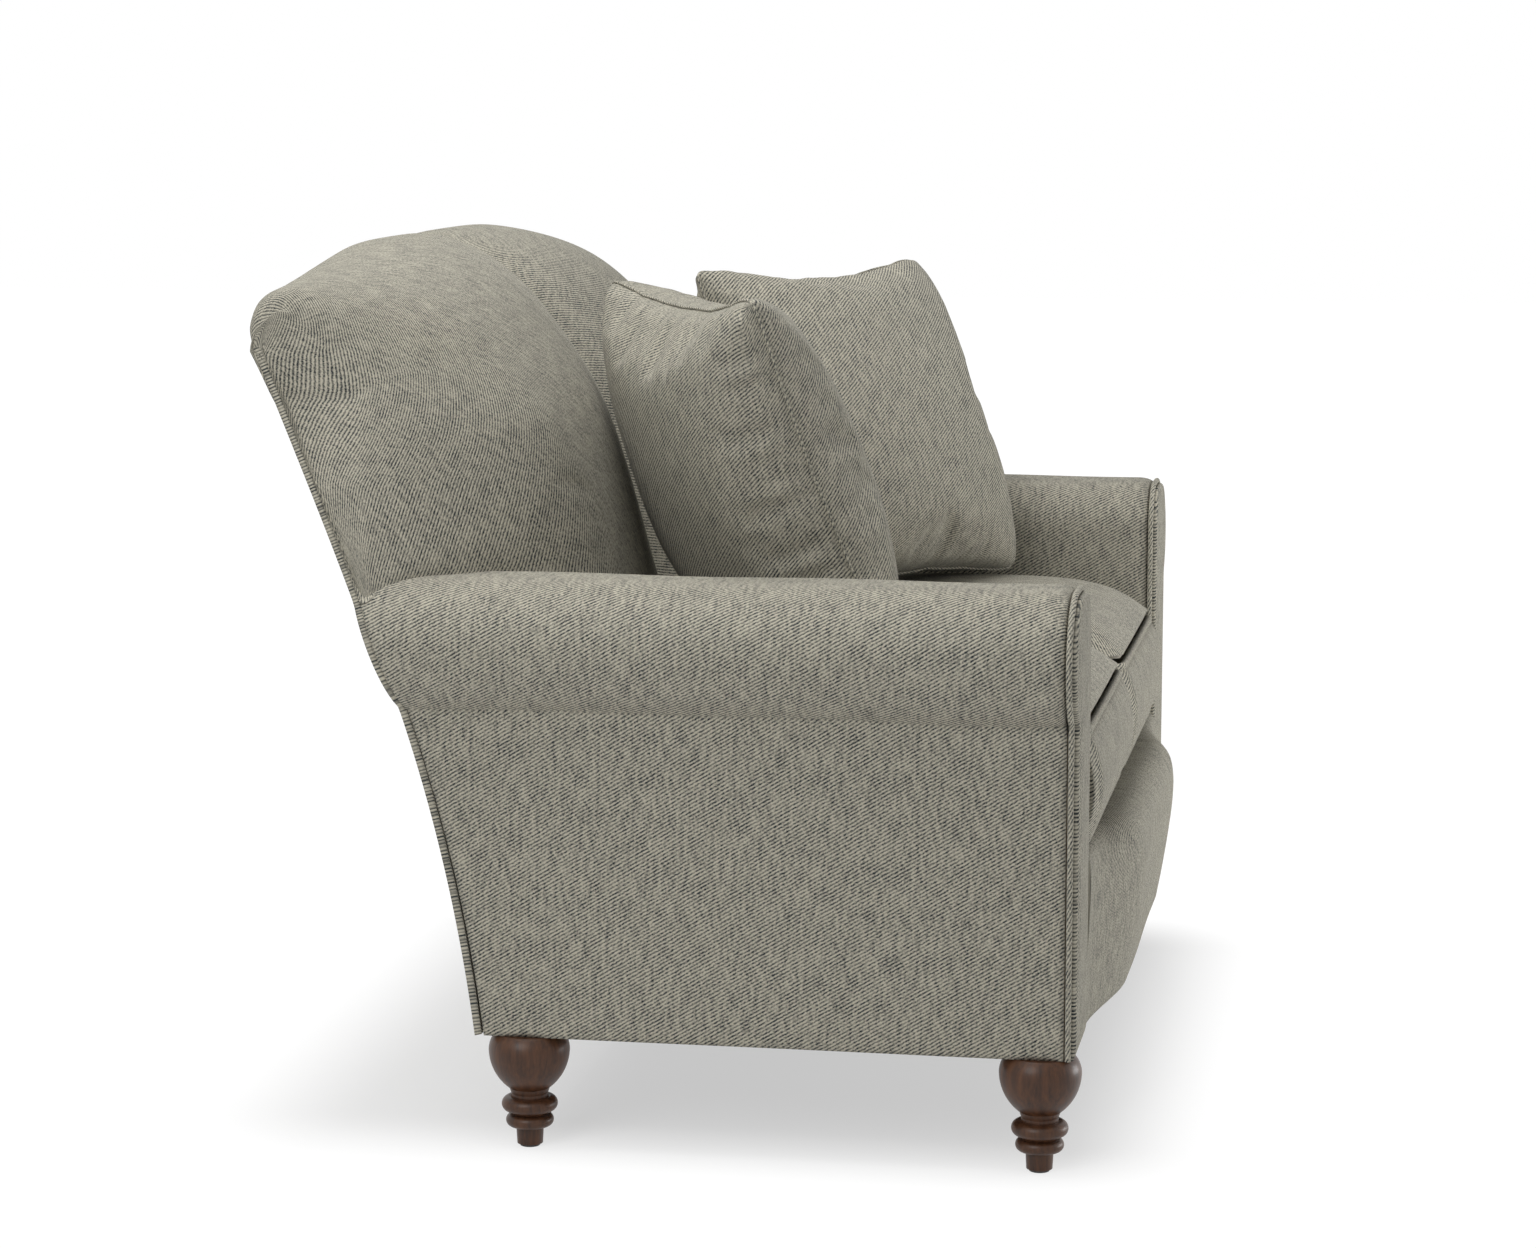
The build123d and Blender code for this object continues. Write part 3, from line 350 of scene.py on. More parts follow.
def armTopLine(low):
    # front view of the right arm: up the inside face, a quarter circle of the shoulder, level, round the roll
    rollZ = sofa["armTop"] - sofa["roll"]
    shoulderX = sofa["armInner"] + sofa["shoulder"]
    shoulderZ = sofa["armTop"] - sofa["shoulder"]
    inside = np.stack([np.full(30, sofa["armInner"]), np.linspace(low, shoulderZ, 30)], -1)
    bend = np.radians(np.linspace(180, 90, 40))
    shoulder = (shoulderX, shoulderZ) + sofa["shoulder"] * np.stack([np.cos(bend), np.sin(bend)], -1)
    turn = np.radians(np.linspace(90, arm["tuck"], 90))
    roll = (sofa["rollX"], rollZ) + sofa["roll"] * np.stack([np.cos(turn), np.sin(turn)], -1)
    return np.concatenate([inside, shoulder[1:], roll])


def armCover(side):
    # the arm's front view carried back to the outside back; its front edge rolls in towards the facing
    line = evenLine(armTopLine(sofa["deckLow"]), 110)
    normal = leftNormal(line)
    share = np.r_[np.linspace(0, 0.028, 9)[:-1], np.linspace(0.028, 1, 84)][:, None]
    rear = rearLine(line[:, 1]) - sofa["panelThick"] - arm["gap"]
    y = sofa["coverFront"] + share * (rear - sofa["coverFront"])
    near = np.clip(1 - (y - sofa["coverFront"]) / arm["frontRound"], 0, 1)
    inset = arm["frontInset"] * (1 - np.sqrt(1 - near**2))
    run = lengthAlong(line)
    soft = 0.0011 * np.sin(8.5 * y + 1.3) * np.sin(9.0 * run) + 0.0007 * np.sin(21 * y + 14 * run)
    offset = soft * (1 - near) - inset  # slow waves, as over padding
    points = np.stack([line[:, 0] + offset * normal[:, 0], y, line[:, 1] + offset * normal[:, 1]], -1)
    cloth = np.stack(np.broadcast_arrays(y, -run), -1)
    piece = weldPiece(f"armCover{hand[side]}", [patch(points, cloth)], side, inside=(0.53, 0, 0.45))
    return thicken(piece, arm["wall"])


def outsidePanel(side):
    # flat side of the arm in Y and Z with a slight swell; its edges turn in
    v = np.linspace(0, 1, 60)[None, :]
    u = np.linspace(0, 1, 90)[:, None]
    z = sofa["underside"] + v * (arm["panelTop"] - sofa["underside"])
    rear = rearLine(z) - sofa["panelThick"] - arm["gap"]
    y = sofa["coverFront"] + 0.0006 + u * (rear - sofa["coverFront"] - 0.0006)
    edge = np.minimum(np.minimum(y - sofa["coverFront"], rear - y), z - sofa["underside"])
    turnIn = arm["edgeTurn"] * np.clip(1 - edge / arm["edgeRun"], 0, 1) ** 2
    x = sofa["armOuter"] - arm["gap"] + arm["panelSwell"] * np.sin(np.pi * u) ** 0.5 * np.sin(np.pi * v) ** 0.5
    x = x - turnIn + 0.0005 * np.sin(13 * y) * np.sin(11 * z)
    points = np.stack(np.broadcast_arrays(x, y, z), -1)
    cloth = np.stack(np.broadcast_arrays(y, z), -1)
    piece = weldPiece(f"outsideArm{hand[side]}", [patch(points, cloth)], side, inside=(0.5, 0, 0.3))
    return thicken(piece, arm["panelWall"])


def facingLine(inset, count):
    # front view of the whole arm, from the underside up the inside and round to the underside, moved in
    low = sofa["underside"]
    top = armTopLine(low)
    crease = np.argmax((top[:, 0] < sofa["armOuter"]) & (np.arange(len(top)) > len(top) * 0.7))
    down = np.stack([np.full(30, sofa["armOuter"]), np.linspace(top[crease - 1, 1], low, 30)], -1)
    line = evenLine(np.concatenate([top[:crease], down[1:]]), count)
    normal = leftNormal(line)
    for _ in range(6):  # eases the corner at the crease
        normal[1:-1] = (normal[:-2] + 2 * normal[1:-1] + normal[2:]) / 4
    line = line - inset * normal
    line[:, 1] = np.maximum(line[:, 1], low)
    return line


def facing(side):
    # rings of the outline drawn towards one middle point, a low swell in front and a rounded edge
    ring = facingLine(2 * arm["welt"] + 0.0004, 150)
    ring = np.concatenate([ring, evenLine(ring[[-1, 0]], 24)[1:]])
    middle = np.array(arm["facingMiddle"])
    t = np.r_[np.linspace(0, 0.96, 20), np.linspace(0.965, 1, 7)]
    flat = middle + t[:, None, None] * (ring - middle)
    swell = arm["facingSwell"] * (1 - t**4) - arm["facingEdge"] * np.clip((t - 0.965) / 0.035, 0, 1) ** 2
    y = np.broadcast_to((sofa["facingFront"] - swell + 0.001)[:, None], flat.shape[:2])
    front = np.stack([flat[..., 0], y, flat[..., 1]], -1)
    rim = np.stack([front[-1], front[-1] * (1, 0, 1) + (0, sofa["coverFront"] - 0.0002, 0)])
    patches = [patch(front, flat), patch(rim, rim[..., [0, 2]]), lid(rim[1])]
    return weldPiece(f"armFacing{hand[side]}", patches, side)


def facingWelt(side):
    # piping carried round the facing, open along the underside
    line = facingLine(arm["welt"] + 0.0002, 220)
    y = sofa["coverFront"] - arm["welt"] - 0.0004
    path = np.stack([line[:, 0], np.full(len(line), y), line[:, 1]], -1)
    normal = leftNormal(line)
    outward = np.stack([normal[:, 0], np.zeros(len(line)), normal[:, 1]], -1)
    forward = np.broadcast_to((0.0, -1.0, 0.0), path.shape)
    return weldPiece(f"armWelt{hand[side]}", tube(path, outward, forward, arm["welt"], False), side)


for label, side in (("left", -1), ("right", 1)):
    finishPiece(armCover(side), "frame", "upholstery", [f"arm_cover_{label}"])
    finishPiece(outsidePanel(side), "frame", "upholstery", [f"outside_arm_panel_{label}"])
    finishPiece(facing(side), "frame", "upholstery", [f"arm_front_panel_{label}"])
    finishPiece(facingWelt(side), "frame", "piping", [f"arm_front_welt_{label}"])
print("arms done")


# back: two padded halves that meet in a valley, and one panel behind
back = {
    "section": (  # front, crest and tail of one half in side view, (y, z)
        (0.080, 0.330), (0.080, 0.430), (0.082, 0.505), (0.103, 0.580), (0.134, 0.700), (0.160, 0.780),
        (0.186, 0.824), (0.215, 0.862), (0.249, 0.902), (0.287, 0.931), (0.320, 0.948), (0.355, 0.959),
        (0.390, 0.9650), (0.420, 0.9645), (0.448, 0.957), (0.466, 0.943), (0.4760, 0.918),
    ),
    "plan": (  # (x, how far drawn back)
        (0.0008, 0.090), (0.006, 0.074), (0.020, 0.058), (0.050, 0.038), (0.090, 0.0235), (0.130, 0.0140),
        (0.200, 0.0045), (0.265, 0.0), (0.330, 0.0010), (0.392, 0.0050),
    ),
    "planDepth": 0.225, "flatTo": 0.392, "foot": 0.330, "sunkInArm": 0.003,
    "outerLow": 0.603, "outerTop": 0.5515, "leanFrom": 0.622, "leanTo": 0.865,  # side wall's x and its heights
    "edgeLow": 0.06, "edgeTop": 0.46, "powerLow": 1.35, "powerTop": 2.0, "fullFrom": 0.614, "fullTo": 0.867,
    "crestRound": 0.030, "cornerRound": 0.022, "notch": 0.010, "notchWidth": 0.030,
    "drop": 0.040, "levelTo": 0.20, "fallPower": 1.2, "fallFrom": 0.72, "fallRun": 0.16,
    "overhang": 0.012, "overFrom": 0.400, "overRun": 0.055,
    "clothTurn": -40.0, "panelTop": 0.915, "panelEnd": 0.865, "panelWall": 0.0075, "tuckUnderRoll": 0.0634,
}


def armTopAt(x):
    # height of the arm's top across: the shoulder's circle, level, then the roll's circle
    shoulderX = sofa["armInner"] + sofa["shoulder"]
    inner = np.sqrt(np.maximum(sofa["shoulder"] ** 2 - np.maximum(shoulderX - x, 0) ** 2, 0)) - sofa["shoulder"]
    outer = np.sqrt(np.maximum(sofa["roll"] ** 2 - np.maximum(x - sofa["rollX"], 0) ** 2, 0)) - sofa["roll"]
    return sofa["armTop"] + np.minimum(inner, outer)


def backHalf(label, side):
    # each point is the rake less the half's depth at that height times a share across: drawn in at the centre
    # seam, fullest in the middle, then falling along a power curve to the slanted outer side
    section = smoothLine(back["section"], 400)
    rows = 96
    midY, midZ = evenLine(section, rows).T
    setback = sofa["panelThick"] + 0.0004
    tailZ = back["section"][-1][1]
    rake = rearLine(np.minimum(midZ, tailZ)) - setback
    depth = np.maximum(rake - midY, 0)[:, None]
    depth[-1] = 0
    planX, planBack = smoothLine(back["plan"], 40).T
    slant = np.linspace(0, 1, 28)[1:]
    wall = np.linspace(0, 1, 13)[1:]
    height = np.clip((midZ - back["fullFrom"]) / (back["fullTo"] - back["fullFrom"]), 0, 1)[:, None]
    lean = np.clip((midZ - back["leanFrom"]) / (back["leanTo"] - back["leanFrom"]), -0.2, 1)[:, None]
    outer = back["outerLow"] + lean * (back["outerTop"] - back["outerLow"])
    power = back["powerLow"] + height * (back["powerTop"] - back["powerLow"])
    edge = back["edgeLow"] + height * (back["edgeTop"] - back["edgeLow"])
    one = np.ones((rows, 1))
    flat = 1 - planBack / back["planDepth"]
    slantX, wallX = back["flatTo"] + slant * (outer - back["flatTo"]), outer + 0.003 * np.sin(np.pi * wall)
    x = np.concatenate([one * planX, slantX, wallX], 1)
    k = np.concatenate([one * flat, flat[-1] - (flat[-1] - edge) * slant**power, edge * (1 - wall)], 1)
    for _ in range(7):  # rounds the corner into the side wall
        k[:, 30:-1] = (k[:, 29:-2] + 2 * k[:, 30:-1] + k[:, 31:]) / 4
        x[:, 30:-1] = (x[:, 29:-2] + 2 * x[:, 30:-1] + x[:, 31:]) / 4
    # heights: above the tail a quarter circle rises from the rear, the crest falls to the outer end, the outer
    # end rounds over, and the centre seam is notched
    ahead = np.clip(depth * k / back["crestRound"], 0, 1)
    z = np.minimum(midZ, tailZ)[:, None] + np.maximum(midZ - tailZ, 0)[:, None] * np.sqrt(1 - (1 - ahead) ** 2)
    high = np.clip((midZ - back["fallFrom"]) / back["fallRun"], 0, 1)[:, None]
    fall = np.clip((x - back["levelTo"]) / (back["outerTop"] - back["levelTo"]), 0, 1) ** back["fallPower"]
    turn = np.clip((x - outer) / back["cornerRound"] + 1, 0, 1)
    low = back["drop"] * fall + back["cornerRound"] * (1 - np.sqrt(1 - turn**2))
    low = (low + back["notch"] * np.exp(-((x / back["notchWidth"]) ** 2))) * high
    over = back["overhang"] * np.clip((midY - back["overFrom"]) / back["overRun"], 0, 1)[:, None] ** 2
    over[-1] = 0
    y = rake[:, None] - depth * k + over
    y = y - low * np.tan(np.radians(sofa["rake"])) * (1 - np.clip(depth * k / 0.22, 0, 1))
    z = z - low
    # a level wobble, as over loose fibre
    soft = 0.0022 * np.sin(11 * x + 2) * np.sin(9 * z + 1) + 0.0012 * np.sin(23 * x - 17 * z)
    y = y + soft * np.clip(depth * k / 0.15, 0, 1)
    # foot of each column: the deck, or the arm's top where the half stands on the arm
    column = x[np.argmin(abs(midZ - 0.60))]
    onSeat = column < sofa["armInner"] - 0.0004
    foot = np.where(onSeat, back["foot"], armTopAt(column) - back["sunkInArm"])
    below = z < foot
    y = np.where(below, np.take_along_axis(y, np.broadcast_to(np.argmax(~below, 0), y.shape), 0), y)
    front = np.stack([x, y, np.maximum(z, foot)], -1)
    down = np.linspace(0, 1, 14)[:, None]
    rearZ = front[-1, :, 2] + down * (foot - front[-1, :, 2])
    rearX = front[-1, :, 0] + down * (front[0, :, 0] - front[-1, :, 0])
    rear = np.stack([rearX, rearLine(rearZ) - setback, rearZ], -1)
    rear[0] = front[-1]
    across = lengthAlong(front[rows // 2])[None, :]
    up = lengthAlong(front[:, 20])[:, None]
    slew = np.radians(back["clothTurn"])  # the cloth lies turned on the back, so its ribs stand steeper
    cloth = [across * np.cos(slew) + up * np.sin(slew), up * np.cos(slew) - across * np.sin(slew)]
    cloth = np.stack(cloth, -1)
    loops = [np.concatenate([front[:, c], rear[1:, c], front[:1, c]]) for c in (0, -1)]
    patches = [patch(front, cloth), patch(rear, rear[..., [0, 2]]), patch(np.stack([rear[-1], front[0]]))]
    return weldPiece(f"backHalf{label.title()}", patches + [lid(loop) for loop in loops], side)


def outsideBack():
    # rear panel in front view, its half width following the arm, the roll and the sloping side, its top an arc
    a = np.linspace(-1, 1, 110)[None, :]
    b = np.linspace(0, 1, 96)[:, None]
    topZ = back["panelEnd"] + (back["panelTop"] - back["panelEnd"]) * (1 - a**2)
    z = sofa["underside"] + b * (topZ - sofa["underside"])
    rollZ = sofa["armTop"] - sofa["roll"]
    lean = np.interp(z, [sofa["bendZ"], back["panelEnd"]], [0.6145, back["outerTop"] + 0.0005])
    bulge = sofa["rollX"] + np.sqrt(np.maximum(sofa["roll"] ** 2 - (z - rollZ) ** 2, 0))
    half = np.where(z < sofa["bendZ"], bulge, lean)
    half = np.where(z < rollZ - back["tuckUnderRoll"], sofa["armOuter"], half)
    x = a * half
    edge = np.minimum((1 - abs(a)) * half, np.minimum(topZ - z, z - sofa["underside"]))
    y = rearLine(z) - 0.0016 * np.clip(1 - edge / 0.005, 0, 1) ** 2 + 0.0012
    y = y + 0.0009 * np.sin(9 * x + 1) * np.sin(8 * z)
    up = np.broadcast_to(lengthAlong(np.stack([rearLine(z[:, 55]), z[:, 55]], -1))[:, None], z.shape)
    panel = patch(np.stack([x, y, z], -1), np.stack([-x, up], -1))
    return thicken(weldPiece("outsideBack", [panel], inside=(0, 0, 0.5)), back["panelWall"])


halves = {label: backHalf(label, side) for label, side in (("left", -1), ("right", 1))}
finishPiece(outsideBack(), "frame", "upholstery", ["outside_back_panel"])
print("back done")


# seat: apron and deck on the frame, and two boxed cushions
apron = {
    "half": 0.4613,
    "end": (  # side views, (y, z)
        (-0.4265, 0.127), (-0.4290, 0.160), (-0.4315, 0.205), (-0.4335, 0.240), (-0.4345, 0.275),
        (-0.4340, 0.300), (-0.4310, 0.317), (-0.4206, 0.3255),
    ),
    "middle": (
        (-0.4545, 0.127), (-0.4620, 0.165), (-0.4695, 0.210), (-0.4745, 0.252), (-0.4745, 0.284),
        (-0.4680, 0.307), (-0.4500, 0.3215), (-0.4206, 0.3255),
    ),
    "fadeFrom": 0.452, "fadeRun": 0.230,
}


def frontApron():
    # two side views, one for the ends and one for the middle, blended across by a smooth step
    rows = 44
    end, middle = (smoothLine(apron[key], rows) for key in ("end", "middle"))
    x = np.linspace(-apron["half"], apron["half"], 120)
    t = np.clip((apron["fadeFrom"] - abs(x)) / apron["fadeRun"], 0, 1)
    share = (3 * t**2 - 2 * t**3)[None, :, None]
    flat = end[:, None] + (middle - end)[:, None] * share
    points = np.stack([np.broadcast_to(x, flat.shape[:2]), flat[..., 0], flat[..., 1]], -1)
    points[..., 1] += 0.0010 * np.sin(17 * points[..., 0]) * np.sin(20 * points[..., 2])
    up = lengthAlong(points[:, 60])
    cloth = np.stack(np.broadcast_arrays(x[None, :], up[:, None]), -1)
    wallY = sofa["coverFront"] - 0.0002
    rear = points[[-1, 0]].copy()
    rear[..., 1] = wallY
    wall = [patch(np.stack([points[-1], rear[0]])), patch(rear), patch(np.stack([rear[1], points[0]]))]
    loops = [np.concatenate([points[:, c], rear[:, c], points[:1, c]]) for c in (0, -1)]
    return weldPiece("frontApron", [patch(points, cloth)] + wall + [lid(loop) for loop in loops])


deck = {
    "half": 0.4616, "run": 0.6260, "gap": 0.0004, "wall": 0.030,
    "edgeDrop": 0.006, "rise": 0.0055, "ease": 0.02,
}


def seatDeck():
    # the padded platform under the cushions: level, with an exponential ease down to its edges
    a = np.linspace(-1, 1, 60)[None, :]
    b = np.linspace(0, 1, 50)[:, None]
    x = a * deck["half"]
    y = sofa["coverFront"] + deck["gap"] + b * deck["run"]
    edge = np.minimum((1 - abs(a)) * 0.46, np.minimum(b, 1 - b) * deck["run"])
    z = sofa["deckTop"] - deck["edgeDrop"] + deck["rise"] * (1 - np.exp(-edge / deck["ease"]))
    points = np.stack(np.broadcast_arrays(x, y, z), -1)
    return thicken(weldPiece("seatDeck", [patch(points)], inside=(0, 0, 0.2)), deck["wall"])


finishPiece(frontApron(), "frame", "upholstery", ["front_apron"])
finishPiece(seatDeck(), "frame", "upholstery", ["seat_deck"])

cushion = {
    "x": (0.0012, 0.4606), "y": (-0.4305, 0.0770), "corner": 0.030,
    "low": 0.3318, "high": 0.4520, "crown": 0.0580, "frontSwell": 0.0150, "sideSwell": 0.0002,
    "easeFront": 0.040, "easeBack": 0.060, "easeSide": 0.032, "belowLow": 0.003,
    "welt": 0.005, "weltLift": -0.0015, "weltSlack": 0.0003,
}
cushionMiddle = np.array([sum(cushion["x"]) / 2, sum(cushion["y"]) / 2])
cushionHalf = np.array([np.ptp(cushion["x"]), np.ptp(cushion["y"])]) / 2


def cushionRing(a, b, inset):
    # a square's edge carried to a rounded rectangle: straight sides, quarter-circle corners
    half = cushionHalf - inset
    r = np.maximum(np.maximum(abs(a), abs(b)), 1e-9)
    edge = np.stack([a / r, b / r], -1) * half
    core = half - cushion["corner"]
    over = np.maximum(abs(edge) - core, 0)
    reach = np.linalg.norm(over, axis=-1, keepdims=True)
    corner = (over > 0).all(-1, keepdims=True)
    bent = np.sign(edge) * (core + over / np.maximum(reach, 1e-9) * cushion["corner"])
    edge = np.where(corner, bent, edge)
    return cushionMiddle + edge * r[..., None]


def cushionTop(flat):
    # crown: three exponential rises multiplied, one from each side, one from the front, one from the back
    x, y = flat[..., 0], flat[..., 1]
    fromSide = np.minimum(x - cushion["x"][0], cushion["x"][1] - x)
    ease = 1 - np.exp(-np.maximum(fromSide, 0) / cushion["easeSide"])
    ease = ease * (1 - np.exp(-np.maximum(y - cushion["y"][0], 0) / cushion["easeFront"]))
    ease = ease * (1 - np.exp(-np.maximum(cushion["y"][1] - y, 0) / cushion["easeBack"]))
    return cushion["high"] + cushion["crown"] * ease


def seatCushion(side):
    # a boxed cushion: crowned top, flat base, and a border that swells between its two seams
    a, b = np.meshgrid(np.linspace(-1, 1, 74), np.linspace(-1, 1, 80))
    flat = cushionRing(a, b, cushion["welt"])
    baseZ = cushion["low"] - cushion["belowLow"]
    top = np.concatenate([flat, cushionTop(flat)[..., None]], -1)
    base = np.concatenate([flat, np.full(flat.shape[:2] + (1,), baseZ)], -1)
    loop = np.concatenate([flat[0], flat[1:, -1], flat[-1, -2::-1], flat[-2::-1, 0]])
    run = lengthAlong(loop)
    v = np.linspace(0, 1, 17)[:, None]
    reach = loop - cushionMiddle
    outward = np.where(abs(reach) > cushionHalf - 0.018, np.sign(reach), 0)
    swell = np.where(outward[:, 1] < 0, cushion["frontSwell"], cushion["sideSwell"]) + cushion["welt"] - 0.0012
    border = loop + (np.sin(np.pi * v) ** 0.7)[..., None] * (swell[:, None] * outward)[None]
    border[..., 0] = np.clip(border[..., 0], *cushion["x"])
    z = baseZ + v * (cushion["high"] - baseZ)
    wall = np.stack(np.broadcast_arrays(border[..., 0], border[..., 1], z), -1)
    cloth = np.stack(np.broadcast_arrays(run[None, :], z), -1)
    patches = [patch(top, flat), patch(base, flat), patch(wall, cloth)]
    return weldPiece(f"seatCushion{hand[side]}", patches, side)


def cushionWelt(side, z, name):
    # a circle carried round the cushion's seam: a and b run along the four sides of a square in turn
    t = np.linspace(0, 4, 420)
    a = np.clip(np.abs((t + 1.0) % 4 - 2) * 2 - 2, -1, 1)
    b = np.clip(np.abs(t % 4 - 2) * 2 - 2, -1, 1)
    line = cushionRing(a, b, cushion["welt"])
    line[-1] = line[0]
    normal = -leftNormal(line)
    normal[[0, -1]] = normal[1]
    if (normal * (line - cushionMiddle)).sum() < 0:
        normal = -normal
    path = np.concatenate([line, np.full((len(line), 1), z)], -1)
    outward = np.concatenate([normal, np.zeros((len(line), 1))], -1)
    up = np.broadcast_to((0.0, 0.0, 1.0), path.shape)
    radius = cushion["welt"] - cushion["weltSlack"]
    return weldPiece(name, tube(path, outward, up, radius, True), side)


cushions = {label: seatCushion(side) for label, side in (("left", -1), ("right", 1))}
print("seat done")


# throw pillows: place on the seat, turn and lean in degrees for each
pillow = {
    "half": 0.2300, "draw": 0.0140, "blunt": 0.035, "thick": 0.160, "full": 0.36, "settle": 0.10,
    "pucker": 0.0034, "waves": (0.047, 0.029), "puckerRun": 0.022, "rest": 0.515, "seam": 0.0016, "seamOut": 0.0004,
    "left": ((-0.232, -0.091), 33.0, 22.0), "right": ((0.225, -0.140), -30.4, 23.0),
}


def lengthsFromMiddle(grid, axis):
    # running length along one axis of a grid of points, from its middle line
    step = np.linalg.norm(np.diff(grid, axis=axis), axis=-1)
    start = np.zeros_like(np.take(step, [0], axis))
    run = np.concatenate([start, np.cumsum(step, axis)], axis)
    return run - np.take(run, [run.shape[axis] // 2], axis)


def throwPillow(label, phase):
    # two squares of cloth joined at the rim: sides draw in between pointed corners, thickness is a power of
    # both distances to the rim and settles low, and the seam puckers in uneven waves that fade inwards
    line = np.linspace(-1, 1, 77)
    line = 0.55 * line + 0.45 * np.sin(line * np.pi / 2)
    a, b = np.meshgrid(line, line)
    blunt = 1 - pillow["blunt"] * (a * b) ** 8
    x = (pillow["half"] * a - pillow["draw"] * a * (1 - b**2)) * blunt
    h = (pillow["half"] * b - pillow["draw"] * b * (1 - a**2)) * blunt
    body = np.maximum((1 - a**2) * (1 - b**2), 0)
    thick = pillow["thick"] / 2 * body ** pillow["full"] * (1 - pillow["settle"] * b)
    rim = np.minimum(1 - abs(a), 1 - abs(b)) * pillow["half"]
    alongRim = np.where(abs(a) > abs(b), h, x)
    long, short = (2 * np.pi * alongRim / wave for wave in pillow["waves"])
    wave = np.sin(long + phase) + 0.7 * np.sin(short + 2.3 * phase)
    pucker = pillow["pucker"] * wave * np.exp(-rim / pillow["puckerRun"]) * np.clip(rim / 0.006, 0, 1)
    (placeX, placeY), turn, lean = pillow[label]
    turn, lean = np.radians(turn), np.radians(lean)
    up = h + pillow["half"] - pillow["draw"]
    patches = []
    for way in (-1, 1):
        y = way * (thick + pucker * (0.6 + 0.4 * way))
        rearward = y * np.cos(lean) + up * np.sin(lean)
        high = -y * np.sin(lean) + up * np.cos(lean)
        worldX = placeX + x * np.cos(turn) - rearward * np.sin(turn)
        worldY = placeY + x * np.sin(turn) + rearward * np.cos(turn)
        world = np.stack([worldX, worldY, pillow["rest"] + high], -1)
        cloth = np.stack([-way * lengthsFromMiddle(world, 1), lengthsFromMiddle(world, 0)], -1)
        patches.append(patch(world, cloth))
    return weldPiece(f"throwPillow{label.title()}", patches)


def pillowSeam(piece, rim, label):
    # a thin cord carried round the joined edge, in the order of the edge's angle about the pillow's middle
    path = pointsOf(piece)[rim]
    path = evenLine(np.concatenate([path, path[:1]]), 480)
    for _ in range(4):  # eases the grid's own steps
        path = (np.roll(path[:-1], 1, 0) + 2 * path[:-1] + np.roll(path[:-1], -1, 0)) / 4
        path = np.concatenate([path, path[:1]])
    along = np.gradient(np.concatenate([path[-3:-1], path, path[1:3]]), axis=0)[2:-2]
    along /= np.linalg.norm(along, axis=1)[:, None]
    outward = path - path.mean(0)
    outward -= (outward * along).sum(1)[:, None] * along
    outward /= np.linalg.norm(outward, axis=1)[:, None]
    sideways = np.cross(along, outward)
    sideways[-1], outward[-1] = sideways[0], outward[0]
    cord = tube(path + pillow["seamOut"] * outward, outward, sideways, pillow["seam"], True, sides=8)
    return weldPiece(f"pillowSeam{label.title()}", cord)


def rimOf(piece, label):
    # the joined edge's points before the cloth moves them, ordered by angle
    (placeX, placeY), turn, lean = pillow[label]
    turn, lean = np.radians(turn), np.radians(lean)
    p = pointsOf(piece) - (placeX, placeY, pillow["rest"])
    x = p[:, 0] * np.cos(turn) + p[:, 1] * np.sin(turn)
    rearward = p[:, 1] * np.cos(turn) - p[:, 0] * np.sin(turn)
    off = rearward * np.cos(lean) - p[:, 2] * np.sin(lean)
    up = rearward * np.sin(lean) + p[:, 2] * np.cos(lean) - pillow["half"] + pillow["draw"]
    rim = np.flatnonzero((abs(off) < 1e-5) & (np.maximum(abs(x), abs(up)) > pillow["half"] * 0.9))
    return rim[np.argsort(np.arctan2(up[rim], x[rim]))]


pillows = {label: throwPillow(label, phase) for label, phase in (("left", 0.4), ("right", 1.9))}
rims = {label: rimOf(piece, label) for label, piece in pillows.items()}
print("pillows done, seam points", [len(rim) for rim in rims.values()])


# cloth: the filled pieces swell under pressure, and no point goes further than the piece's cap
swell = {
    "pillow": {"pressure": 4.0, "cap": 0.024, "stiff": 14.0},
    "cushion": {"pressure": 4.0, "cap": 0.007, "stiff": 20.0},
    "back": {"pressure": 3.5, "cap": 0.006, "stiff": 20.0},
}
swellSteps = 20


def startCloth(piece, kind, held):
    group = piece.vertex_groups.new(name="held")
    group.add(np.flatnonzero(held).tolist(), 1.0, "REPLACE")
    cloth = piece.modifiers.new("cloth", "CLOTH")
    weave, stiff = cloth.settings, swell[kind]["stiff"]
    weave.use_pressure = True
    weave.uniform_pressure_force = swell[kind]["pressure"]
    weave.effector_weights.gravity = 0.0
    weave.quality = 4
    weave.mass = 0.3
    weave.tension_stiffness = weave.compression_stiffness = stiff
    weave.shear_stiffness = stiff / 2
    weave.bending_stiffness = 0.6
    weave.vertex_group_mass = "held"
    cloth.point_cache.frame_start = 1
    cloth.point_cache.frame_end = swellSteps
    return piece, kind, pointsOf(piece)


def runCloth(started):
    scene = bpy.context.scene
    for step in range(1, swellSteps + 1):
        scene.frame_set(step)
    deps = bpy.context.evaluated_depsgraph_get()
    for piece, kind, start in started:
        shown = piece.evaluated_get(deps)
        moved = np.empty(len(start) * 3, np.float32)
        shown.data.vertices.foreach_get("co", moved)
        shift = moved.reshape(-1, 3) - start
        far = np.linalg.norm(shift, axis=1, keepdims=True)
        cap = swell[kind]["cap"]  # the shift's length becomes cap times tanh(length / cap)
        setPoints(piece, start + shift * np.tanh(far / cap) * cap / np.maximum(far, 1e-9))
        piece.modifiers.remove(piece.modifiers["cloth"])
        piece.vertex_groups.clear()
        print("settled", piece.name, "by up to", round(float(far.max()) * 1000, 1), "mm, cap", cap * 1000)
    scene.frame_set(1)


